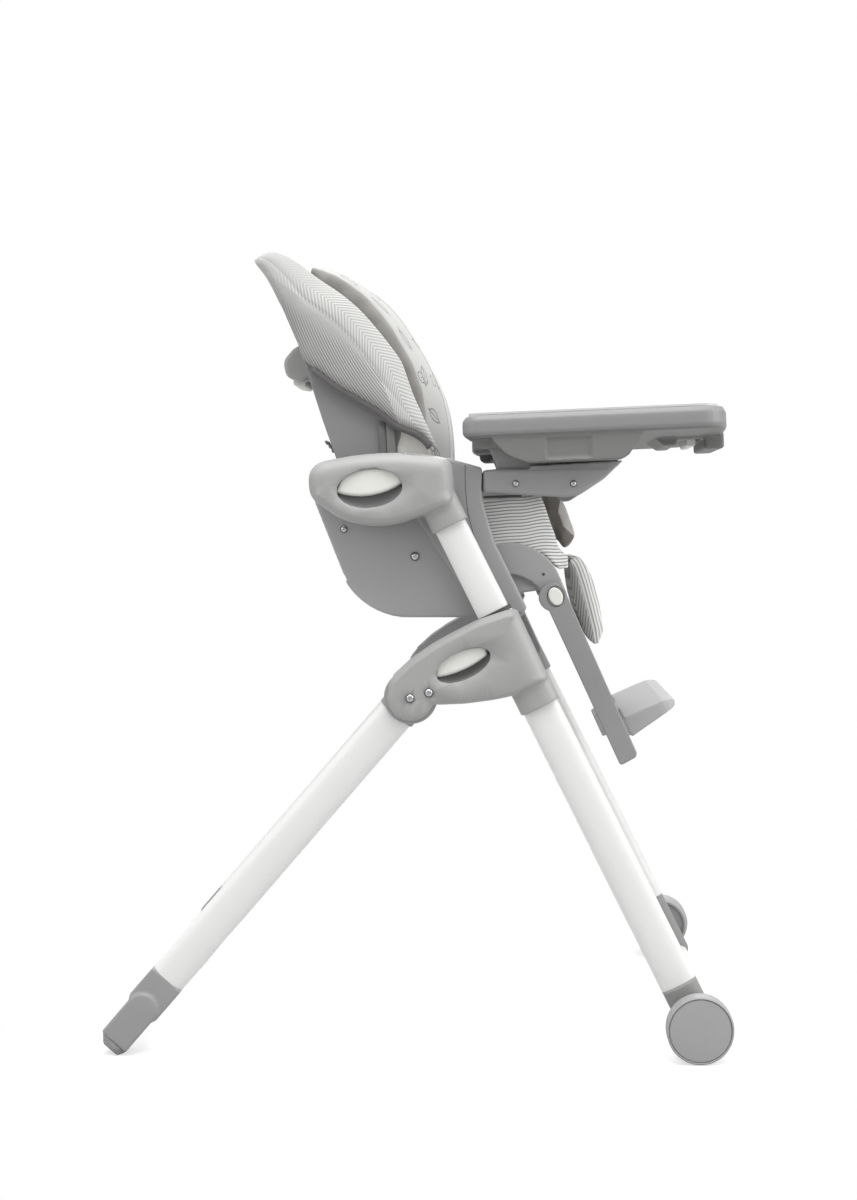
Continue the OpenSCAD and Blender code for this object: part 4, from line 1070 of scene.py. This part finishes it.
def make_wing():
    """Padded cover of the upper back: two side wings joined over the top, with a rolled band in front"""
    near = [(-0.1998, 1.0418), (-0.1833, 1.0378), (-0.1644, 1.0272), (-0.1408, 1.0094), (-0.1148, 0.9917),
            (-0.0912, 0.9728), (-0.0699, 0.9503), (-0.0486, 0.9243), (-0.0321, 0.9007), (-0.0226, 0.8771),
            (-0.0108, 0.8464), (0.0057, 0.8109), (0.0152, 0.7897)]
    # Scaled about the camera's axis, in the plane of the cover's side
    axis_x, _, axis_z = CAMERA_PLACE
    scale = 1.0115
    y = 0.2
    side_edge = [(axis_x + (x - axis_x) * scale, y, axis_z + (z - axis_z) * scale) for x, z in near[::-1]]
    over_top = [(-0.209, 0.190, 1.0465), (-0.212, 0.155, 1.0505), (-0.212, 0.1, 1.0545),
                (-0.212, 0.05, 1.058), (-0.212, 0.0, 1.059)]
    front = spline(side_edge + over_top, WING_POINTS)
    behind = [(0.0152, y, 0.7826), (-0.0061, y, 0.8038), (-0.0368, y, 0.8180), (-0.0628, y, 0.8369),
              (-0.0912, y, 0.8535), (-0.1148, y, 0.8676), (-0.1408, y, 0.8866), (-0.1585, y, 0.9007),
              (-0.1645, y, 0.9126), (-0.1715, y, 0.9338), (-0.1881, y, 0.9693), (-0.2093, y, 1.0094),
              (-0.2246, 0.196, 1.0295), (-0.2285, 0.175, 1.038), (-0.229, 0.12, 1.041),
              (-0.229, 0.06, 1.043), (-0.229, 0.0, 1.044)]
    rear = spline(behind, WING_POINTS)
    run = lengths(front)
    steps = np.r_[np.linspace(0, 0.36, 15)[:-1], np.linspace(0.36, 1, 22)]
    rings, cloth, edges = [], [], []
    for f, r, u in zip(front, rear, run):
        width = np.linalg.norm(r - f)
        size = min(1.0, width / 0.07)
        band, drop = WING_BAND * size, 24 * MM * size
        side = ease((f[1] - 0.02) / 0.13)
        outward = np.array([-0.25 * (1 - side), side, 1 - side])
        outward /= np.linalg.norm(outward)
        outer = []
        for v in steps:
            q = v * width
            point = f + (r - f) * v
            roll = -drop * max(0.0, 1 - q / band) ** 1.8
            seam = -1.2 * MM * math.exp(-((q - band) / (2.6 * MM)) ** 2) * ease((width - 0.05) / 0.03)
            hem = -5 * MM * max(0.0, 1 - (width - q) / (10 * MM)) ** 2
            past_band = min(1.0, max(0.0, (q - band) / max(width - band, 1 * MM)))
            puff = 4 * MM * size * math.sin(math.pi * past_band) ** 0.7
            outer.append((point + outward * (roll + seam + hem + puff), q, width - q))
        ring = [p for p, _, _ in outer]
        rim = [(u, q) for _, q, _ in outer]
        rear_side = [(w, p[2]) for p, _, w in outer]
        for p, q, w in outer[::-1]:
            thick = 3 * MM + 12 * MM * size * ease(q / 0.03) * ease(w / 0.03)
            ring.append(p - outward * thick)
            rim.append((u, q))
            rear_side.append((w, p[2]))
        rings.append(ring)
        cloth.append(rim + rim[:1])
        edges.append(rear_side + rear_side[:1])
    half = np.array(rings)
    other = half[::-1].copy()
    other[:, :, 1] *= -1
    rings = np.vstack([half, other[1:]])
    wing = loft("wing_cover", rings, ["herringbone"], uvs=cloth + cloth[::-1][1:],
                more={"Edge": edges + edges[::-1][1:]})
    rippled(wing, 1.0 * MM, 45 * MM, 3.0)
    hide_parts("back_wing")
    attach(wing, "back")
    # Woven tape that binds the lower edge of each side
    wide, thick = 4.6 * MM, 3 * MM
    around = np.linspace(0, math.tau, 10, endpoint=False)
    for side, s in SIDES.items():
        tape = []
        for i in range(2, 50):
            along = rear[i + 1] - rear[i - 1]
            out = np.array([along[2], 0.0, -along[0]]) / np.linalg.norm(along)
            out = out if out[2] < 0 else -out
            wobble = 0.8 * MM * noise.noise(Vector(rear[i]) / 0.012)
            middle = rear[i] + out * (3.2 * MM + wobble) - np.array([0.0, thick, 0.0])
            tape.append([(middle[0] + out[0] * wide * math.cos(a), s * (middle[1] + thick * math.sin(a)),
                          middle[2] + out[2] * wide * math.cos(a)) for a in around])
        strip = loft(f"wing_binding_{side}", tape, ["binding"])
        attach(strip, "back")


def make_back_trim():
    """What shows between the wing and the seat: the cream lining, the shell's ribs, and a webbing end"""
    for side, s in SIDES.items():
        lining = []
        for k, z in enumerate(np.linspace(0.700, 0.826, 22)):
            left = -0.037 + 0.004 * math.sin(k * 0.8) * (k / 21)
            right = np.interp(z, [0.70, 0.74, 0.77, 0.80, 0.826], [0.012, 0.013, 0.010, 0.000, -0.010])
            ring = []
            for a in np.linspace(0, math.tau, 20, endpoint=False):
                x = (left + right) / 2 + (right - left) / 2 * math.cos(a)
                fold = 1.6 * MM * noise.noise(Vector((x / 0.016, z / 0.05, 7.0)))
                ring.append((x, s * (0.183 + (2.5 * MM + fold) * math.sin(a)), z))
            lining.append(ring)
        cloth = loft(f"lining_{side}", lining, ["lining"])
        subdivided(cloth)
        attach(cloth, "back")
        # Two upright ribs along the front edge of the shell's side, in greys darker than the shell
        # as painted shade under the wing
        ribs = [("rib_painted_deep_shade", -0.0545, 4.6 * MM, 0.1890), ("rib", -0.0435, 5.8 * MM, 0.1892)]
        around = np.linspace(0, math.tau, 16, endpoint=False)
        for key, shift, wide, y in ribs:
            rib = [[(shift - 0.05 * (z - 0.76) + wide * math.cos(a), s * (y + 1.2 * MM * math.sin(a)), z)
                    for a in around] for z in np.linspace(0.700, 0.820, 8)]
            edge = loft(f"shell_rib_{key}_{side}", rib, [key])
            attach(edge, "back")
        # Loose end of webbing
        tuft = []
        for k, t in enumerate(np.linspace(0, 1, 10)):
            x, z = -0.124 - 0.013 * t, 0.783 + 0.020 * t - 0.006 * t * t
            r = (3.4 + 1.0 * math.sin(k * 2.1)) * MM * (1 - 0.4 * t)
            tuft.append([(x + r * math.cos(a) * 0.8, s * (0.150 + r * math.sin(a)), z + r * math.cos(a) * 0.6)
                         for a in np.linspace(0, math.tau, 10, endpoint=False)])
        end = loft(f"webbing_end_{side}", tuft, ["webbing"])
        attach(end, "back")


def cushion_rings(crest, edge, width, thick):
    """Cross-sections of a crowned cushion: crest and edge are its front lines in the side view, width its
    half width and thick its depth at each of their points"""
    count = len(crest)
    side_points, back_points = 5, 12
    tuck = 4 * MM
    rings = []
    for i in range(count):
        a = edge[max(i - 1, 0)]
        b = edge[min(i + 1, count - 1)]
        along = (b - a) / np.linalg.norm(b - a)
        inward = np.array([-along[1], along[0]])
        if inward[0] > 0:
            inward = -inward
        ring = []
        half = width[i]
        for k in range(CUSHION_FRONT_POINTS):
            t = -1 + 2 * k / (CUSHION_FRONT_POINTS - 1)
            p = edge[i] + (crest[i] - edge[i]) * (1 - abs(t) ** CUSHION_CROWN)
            ring.append((p[0], half * t, p[1]))
        side = []
        for k in range(1, side_points + 1):
            p = edge[i] + inward * thick[i] * k / side_points
            bulge = 3 * MM * math.sin(math.pi * k / side_points)
            side.append((p[0], half + bulge - tuck * (k / side_points) ** 2, p[1]))
        ring += side
        rear = edge[i] + inward * thick[i]
        for k in range(1, back_points):
            ring.append((rear[0], (half - tuck) * (1 - 2 * k / back_points), rear[1]))
        ring += [(x, -y, z) for x, y, z in side[::-1]]
        rings.append(ring)
    return np.array(rings)


def ring_uvs(rings):
    """Cloth coordinates in metres: along the rings, and around each"""
    centre = rings[:, rings.shape[1] // 4, :]
    along = lengths(centre)
    uvs = []
    for i, ring in enumerate(rings):
        around = lengths(np.vstack([ring, ring[:1]]))
        uvs.append([(along[i], a) for a in around])
    return uvs


def cushion_lines():
    """Crest and edge of the back cushion in the side view"""
    crest = [(0.024, 0.690), (0.030, 0.745), (0.030, 0.809), (0.020, 0.864), (-0.002, 0.913),
             (-0.024, 0.950), (-0.050, 0.986), (-0.086, 1.017), (-0.122, 1.039), (-0.138, 1.046)]
    edge = [(0.002, 0.696), (0.005, 0.745), (0.001, 0.800), (-0.005, 0.854), (-0.017, 0.895),
            (-0.040, 0.938), (-0.066, 0.976), (-0.103, 1.010), (-0.140, 1.030), (-0.162, 1.038)]
    return spline(crest, CUSHION_LENGTH_POINTS), spline(edge, CUSHION_LENGTH_POINTS)


def make_back_cushion():
    """Printed cushion, crowned along its middle, with a taupe side band"""
    crest, edge = cushion_lines()
    t = np.linspace(0, 1, CUSHION_LENGTH_POINTS)
    width = CUSHION_HALF - 0.020 * ease((t - 0.90) / 0.10) - 0.006 * ease((0.08 - t) / 0.08)
    thick = 0.034 * (1 - 0.72 * ease((t - 0.90) / 0.1))
    rings = cushion_rings(crest, edge, width, thick)
    band_start = CUSHION_FRONT_POINTS - 1
    piece = loft("back_cushion_cover", rings, ["print", "taupe"], uvs=ring_uvs(rings),
                 slot=lambda i, j: 0 if j < band_start else 1)
    rippled(piece, 2.0 * MM, 22 * MM, 11.0, lambda co: ease((np.abs(co[:, 1]) - 0.132) / 0.008))
    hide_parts("back_cushion")
    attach(piece, "back")


def make_seat_pad():
    """Seat liner: striped sides that roll over the front edge, printed inside"""
    stations = np.linspace(-0.025, 0.1925, 60)
    rings = []
    for x in stations:
        top = np.interp(x, [-0.025, 0.02, 0.06, 0.09, 0.125, 0.1475, 0.1535, 0.159, 0.165, 0.178, 0.1925],
                        [0.690, 0.712, 0.7155, 0.7165, 0.7215, 0.7235, 0.721, 0.705, 0.688, 0.650, 0.637])
        floor = np.interp(x, [-0.025, 0.10, 0.150, 0.178, 0.1925], [0.672, 0.674, 0.670, 0.646, 0.634])
        base = np.interp(x, [-0.025, 0.158, 0.166, 0.178, 0.1925], [0.641, 0.641, 0.634, 0.624, 0.626])
        half = 0.165 - 0.006 * ease((x - 0.16) / 0.03)
        roll = 0.0135
        inner = half - 2 * roll
        rise = max(top, floor)
        side = [(half, base + (rise - base) * k / 8) for k in range(8)]
        over = [(half - roll + roll * math.cos(a), rise - 0.004 + 0.008 * math.sin(a))
                for a in np.linspace(0, math.pi, 7)]
        down = [(inner, rise + (floor - rise) * k / 5) for k in range(1, 5)]
        across = [(inner * math.cos(a), floor + 0.004 * math.sin(a)) for a in np.linspace(0, math.pi, 15)]
        right = [(-y, z) for y, z in (side + over + down)[::-1]]
        under = [(half * (-1 + 2 * k / 8), base) for k in range(1, 8)]
        rings.append([(x, y, z) for y, z in side + over + down + across + right + under])
    rings = np.array(rings)
    uvs = [[(p[0], p[2] - 0.09 * p[0] + 1.2 * MM * math.sin(p[0] / 0.009) * ease((p[0] - 0.09) / 0.06))
            for p in np.vstack([ring, ring[:1]])] for ring in rings]
    # The printed cloth starts where the rolls end, on both sides
    first = len(side + over) - 1
    last = rings.shape[1] - len(under + side + over)
    piece = loft("seat_liner", rings, ["stripe", "print"], uvs=uvs,
                 slot=lambda i, j: 1 if first <= j < last else 0)
    rippled(piece, 1.6 * MM, 30 * MM, 5.0)
    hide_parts("seat_pad")
    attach(piece, "carriage")


def pillow(name, outline, half, edge, keys, slot):
    """A pad with a side-view outline, rounded over towards both ends across the chair"""
    shape = np.asarray(outline)
    centre = shape.mean(axis=0)
    steps = 24
    rings = []
    for k in range(steps + 1):
        t = -1 + 2 * k / steps
        bend = math.sin(t * math.pi / 2)
        y = half * bend
        shrink = max(0.05, 1 - (max(0.0, abs(y) - (half - edge)) / edge) ** 2.2 * 0.55)
        ring = centre + (shape - centre) * shrink
        rings.append([(p[0], y, p[1]) for p in ring])
    rings = np.array(rings)
    uvs = []
    for ring in rings:
        loop = np.vstack([ring, ring[:1]])
        around = lengths(loop)
        uvs.append([(a, p[1]) for a, p in zip(around, loop)])
    return loft(name, rings, keys, uvs=uvs, slot=slot)


def make_calf_pad():
    """Striped pad that hangs in a curve from the seat's front edge"""
    count, half = 46, 0.140
    rear = spline([(0.1925, 0.636), (0.1925, 0.622), (0.1955, 0.598), (0.2035, 0.565), (0.2125, 0.5395),
                   (0.2195, 0.5275), (0.2285, 0.5215)], count)
    front = spline([(0.1945, 0.640), (0.2085, 0.6385), (0.2215, 0.619), (0.2315, 0.590), (0.2385, 0.556),
                    (0.239, 0.5385), (0.2315, 0.522)], count)
    along = lengths((rear + front) / 2)
    angles = np.linspace(0, math.tau, 64, endpoint=False)
    rings, uvs = [], []
    for r, f, s in zip(rear, front, along):
        middle, reach = (r + f) / 2, (f - r) / 2
        thick = np.linalg.norm(reach)
        ring = []
        for a in angles:
            seam = 1.2 * MM * math.exp(-(math.cos(a) / 0.10) ** 2) if thick > 4 * MM else 0.0
            round_off = (0.9 * thick - seam) * math.sin(a)
            flat = (half - 0.9 * thick) * max(-1.0, min(1.0, 4 * math.sin(a)))
            p = middle + reach * math.cos(a)
            ring.append((p[0], flat + round_off, p[1]))
        rings.append(ring)
        uvs.append([(s, thick * math.cos(a)) for a in angles] + [(s, thick)])
    turns = len(angles)
    # The sides get the darker striped cloth as painted shade
    piece = loft("calf_pad_cover", rings, ["front_panel", "gusset_painted_shade"], uvs=uvs,
                 slot=lambda i, j: 1 if 0.29 * turns <= j < 0.71 * turns else 0)
    rippled(piece, 1.2 * MM, 26 * MM, 8.0)
    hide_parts("calf_pad")
    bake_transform(piece)


def make_crotch_pad():
    """Pad between the child's legs: taupe cloth with painted shade, and a painted highlight on its rounded
    front
    """
    outline = spline([(0.156, 0.676), (0.180, 0.664), (0.190, 0.652), (0.204, 0.667), (0.198, 0.690),
                      (0.190, 0.711), (0.179, 0.7265), (0.158, 0.7265), (0.153, 0.70)], 40, closed=True)
    # Its front faces take the lighter cloth as a painted highlight, the rest the darker cloth as painted
    # shade
    piece = pillow("crotch_pad_cover", outline, 0.040, 0.016, ["taupe_painted_shade", "taupe_painted_highlight"],
                   slot=lambda i, j: 1 if outline[j][0] > 0.186 and outline[j][1] > 0.665 else 0)
    rippled(piece, 2.0 * MM, 16 * MM, 2.0)
    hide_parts("crotch_pad")
    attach(piece, "carriage")


def make_harness():
    """Two shoulder straps that lie on the cushion, and the buckle"""
    crest, edge = cushion_lines()
    # Section of a strap: distance from the chair's middle, and height above the cushion
    section = [(y, 0.5 * MM) for y in (0.036, 0.042, 0.047, 0.052, 0.058)]
    section += [(0.058, -1.3 * MM), (0.036, -1.3 * MM)]
    straps = []
    for s in SIDES.values():
        rings = []
        for i in range(4, 58):
            along = crest[i + 1] - crest[i - 1]
            outward = np.array([along[1], -along[0]]) / np.linalg.norm(along)
            ring = []
            for y, lift in section:
                crown = 1 - (y / CUSHION_HALF) ** CUSHION_CROWN
                p = edge[i] + (crest[i] - edge[i]) * crown + outward * lift
                ring.append((p[0], s * y, p[1]))
            rings.append(ring)
        straps.append(loft("harness_strap", rings, ["strap"]))
    both = bmesh.new()
    for strap in straps:
        both.from_mesh(strap.data)
        bpy.data.objects.remove(strap)
    mesh = bpy.data.meshes.new("harness_straps_finish")
    both.to_mesh(mesh)
    both.free()
    piece = new_object("harness_straps_finish", mesh, "strap")
    smooth_shade(mesh, 50)
    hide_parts("harness_straps")
    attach(piece, "back")
    softened("harness_buckle", "dark", voxel=0.8 * MM)


# ---------------------------------------------------------------- stage

def make_stage():
    """White paper floor, soft light from above and both sides, and the camera"""
    low = cad_box[0]
    floor_mesh = bpy.data.meshes.new("studio_floor")
    span = 14.0
    corners = [(-span, -span, 0), (span, -span, 0), (span, span, 0), (-span, span, 0)]
    floor_mesh.from_pydata(corners, [], [(0, 1, 2, 3)])
    floor = bpy.data.objects.new("studio_floor", floor_mesh)
    floor.location.z = low[2] - 0.5 * MM
    bpy.context.scene.collection.objects.link(floor)
    floor_mesh.materials.append(white_floor("studio_paper_white"))

    scene = bpy.context.scene
    scene.view_settings.view_transform = "Standard"
    world = bpy.data.worlds.new("studio")
    world.use_nodes = True
    scene.world = world
    tree = world.node_tree
    tree.nodes.clear()
    path = add(tree, "LightPath").outputs
    rays = {0: path["Is Camera Ray"], 1: path["Is Transmission Ray"]}
    seen = add(tree, "Math", rays, operation="MAXIMUM")
    # Brighter from above than from below
    up = add(tree, "SeparateXYZ", {0: add(tree, "TexCoord").outputs["Generated"]}).outputs[2]
    sky = add(tree, "MapRange", {"Value": up, 1: -0.4, 2: 1.0, 3: 0.25, 4: 1.1})
    strength = add(tree, "Mix", {0: seen, 2: sky, 3: 1.0})
    glow = add(tree, "Background", {"Color": (1.0, 1.0, 1.0, 1.0), "Strength": strength})
    add(tree, "OutputWorld", {0: glow})

    # Name, place, aim, size in metres and power in watts
    lamps = [
        ("softbox_top", (0.0, -0.7, 2.7), (0.0, 0.0, 0.5), 2.0, 40.0),
        ("softbox_left", (-2.4, -1.6, 1.6), (0.0, 0.0, 0.6), 1.8, 14.0),
        ("softbox_right", (2.4, -0.7, 1.5), (0.1, 0.0, 0.45), 1.7, 31.0),
        ("softbox_back", (0.2, 2.3, 2.3), (0.0, 0.0, 0.5), 2.0, 46.0),
    ]
    for name, where, aim, size, power in lamps:
        light = bpy.data.lights.new(name, "AREA")
        light.shape = "SQUARE"
        light.size = size
        light.energy = power
        lamp = bpy.data.objects.new(name, light)
        lamp.location = where
        lamp.rotation_euler = (Vector(aim) - Vector(where)).to_track_quat("-Z", "Y").to_euler()
        scene.collection.objects.link(lamp)

    lens = bpy.data.cameras.new("camera")
    lens.sensor_fit = "VERTICAL"
    lens.sensor_height = 36.0
    lens.lens = 47.55
    lens.shift_x = -0.0733
    lens.shift_y = -0.0558
    lens.clip_end = 60
    camera = bpy.data.objects.new("camera", lens)
    camera.location = CAMERA_PLACE
    camera.rotation_euler = (math.radians(90), 0, 0)
    scene.collection.objects.link(camera)
    scene.camera = camera


# ---------------------------------------------------------------- add-on

class HIGHCHAIR_OT_stage(bpy.types.Operator):
    """Adds the floor, the lights and the camera"""
    bl_idname = "highchair.stage"
    bl_label = "Stage"

    def execute(self, context):
        make_stage()
        return {"FINISHED"}


class HIGHCHAIR_OT_frame(bpy.types.Operator):
    """Finishes the leg tubes and crossbars"""
    bl_idname = "highchair.frame"
    bl_label = "Tubes"

    def execute(self, context):
        make_frame()
        return {"FINISHED"}


class HIGHCHAIR_OT_wheels(bpy.types.Operator):
    """Finishes the wheels and their axles"""
    bl_idname = "highchair.wheels"
    bl_label = "Wheels"

    def execute(self, context):
        make_wheels()
        return {"FINISHED"}


class HIGHCHAIR_OT_hubs(bpy.types.Operator):
    """Finishes the folding hubs and their levers"""
    bl_idname = "highchair.hubs"
    bl_label = "Hubs"

    def execute(self, context):
        make_hubs()
        return {"FINISHED"}


class HIGHCHAIR_OT_feet(bpy.types.Operator):
    """Finishes the shoes and the rear feet"""
    bl_idname = "highchair.feet"
    bl_label = "Feet"

    def execute(self, context):
        make_feet()
        return {"FINISHED"}


class HIGHCHAIR_OT_carriages(bpy.types.Operator):
    """Finishes the castings that hold the seat"""
    bl_idname = "highchair.carriages"
    bl_label = "Carriages"

    def execute(self, context):
        make_carriages()
        return {"FINISHED"}


class HIGHCHAIR_OT_seat_shell(bpy.types.Operator):
    """Finishes the seat shell and the armrests"""
    bl_idname = "highchair.seat_shell"
    bl_label = "Seat shell"

    def execute(self, context):
        make_seat_shell()
        return {"FINISHED"}


class HIGHCHAIR_OT_tray(bpy.types.Operator):
    """Finishes the tray, its liner and its latch"""
    bl_idname = "highchair.tray"
    bl_label = "Tray"

    def execute(self, context):
        make_tray()
        return {"FINISHED"}


class HIGHCHAIR_OT_footrest(bpy.types.Operator):
    """Finishes the footrest"""
    bl_idname = "highchair.footrest"
    bl_label = "Footrest"

    def execute(self, context):
        make_footrest()
        return {"FINISHED"}


class HIGHCHAIR_OT_back_shell(bpy.types.Operator):
    """Finishes the back and its recline handle"""
    bl_idname = "highchair.back_shell"
    bl_label = "Back shell"

    def execute(self, context):
        make_back_shell()
        return {"FINISHED"}


class HIGHCHAIR_OT_screws(bpy.types.Operator):
    """Adds the screw heads"""
    bl_idname = "highchair.screws"
    bl_label = "Screws"

    def execute(self, context):
        make_screws()
        return {"FINISHED"}


class HIGHCHAIR_OT_wing(bpy.types.Operator):
    """Adds the padded wing cover"""
    bl_idname = "highchair.wing"
    bl_label = "Wing cover"

    def execute(self, context):
        make_wing()
        return {"FINISHED"}


class HIGHCHAIR_OT_back_trim(bpy.types.Operator):
    """Adds the lining and the webbing ends beside the cushion"""
    bl_idname = "highchair.back_trim"
    bl_label = "Back trim"

    def execute(self, context):
        make_back_trim()
        return {"FINISHED"}


class HIGHCHAIR_OT_back_cushion(bpy.types.Operator):
    """Adds the printed back cushion"""
    bl_idname = "highchair.back_cushion"
    bl_label = "Back cushion"

    def execute(self, context):
        make_back_cushion()
        return {"FINISHED"}


class HIGHCHAIR_OT_seat_pad(bpy.types.Operator):
    """Adds the striped seat liner"""
    bl_idname = "highchair.seat_pad"
    bl_label = "Seat liner"

    def execute(self, context):
        make_seat_pad()
        return {"FINISHED"}


class HIGHCHAIR_OT_calf_pad(bpy.types.Operator):
    """Adds the calf pad"""
    bl_idname = "highchair.calf_pad"
    bl_label = "Calf pad"

    def execute(self, context):
        make_calf_pad()
        return {"FINISHED"}


class HIGHCHAIR_OT_crotch_pad(bpy.types.Operator):
    """Adds the crotch pad"""
    bl_idname = "highchair.crotch_pad"
    bl_label = "Crotch pad"

    def execute(self, context):
        make_crotch_pad()
        return {"FINISHED"}


class HIGHCHAIR_OT_harness(bpy.types.Operator):
    """Finishes the harness"""
    bl_idname = "highchair.harness"
    bl_label = "Harness"

    def execute(self, context):
        make_harness()
        return {"FINISHED"}


OPERATORS = [
    HIGHCHAIR_OT_stage, HIGHCHAIR_OT_frame, HIGHCHAIR_OT_wheels,
    HIGHCHAIR_OT_hubs, HIGHCHAIR_OT_feet, HIGHCHAIR_OT_carriages,
    HIGHCHAIR_OT_seat_shell, HIGHCHAIR_OT_tray, HIGHCHAIR_OT_footrest,
    HIGHCHAIR_OT_back_shell, HIGHCHAIR_OT_screws, HIGHCHAIR_OT_wing, HIGHCHAIR_OT_back_trim,
    HIGHCHAIR_OT_back_cushion, HIGHCHAIR_OT_seat_pad, HIGHCHAIR_OT_calf_pad,
    HIGHCHAIR_OT_crotch_pad, HIGHCHAIR_OT_harness,
]


class HIGHCHAIR_PT_panel(bpy.types.Panel):
    """Lists the build steps of the high chair"""
    bl_label = "High chair"
    bl_idname = "HIGHCHAIR_PT_panel"
    bl_space_type = "VIEW_3D"
    bl_region_type = "UI"
    bl_category = "High chair"

    def draw(self, context):
        for group in (context.scene.high_chair_sizes, context.scene.high_chair_colours):
            for key in group.__annotations__:
                self.layout.prop(group, key)
        for kind in OPERATORS:
            self.layout.operator(kind.bl_idname)


CLASSES = [HighChairSizes, HighChairColours, *OPERATORS, HIGHCHAIR_PT_panel]


def register():
    """Registers the classes and puts the settings on the scene"""
    for kind in CLASSES:
        bpy.utils.register_class(kind)
    bpy.types.Scene.high_chair_sizes = bpy.props.PointerProperty(type=HighChairSizes)
    bpy.types.Scene.high_chair_colours = bpy.props.PointerProperty(type=HighChairColours)


def unregister():
    """Takes the settings and the classes away again"""
    del bpy.types.Scene.high_chair_colours
    del bpy.types.Scene.high_chair_sizes
    for kind in reversed(CLASSES):
        bpy.utils.unregister_class(kind)


def main():
    """Runs the operators in order"""
    register()
    for kind in OPERATORS:
        getattr(bpy.ops.highchair, kind.bl_idname.split(".")[1])()


if __name__ == "__main__":
    main()
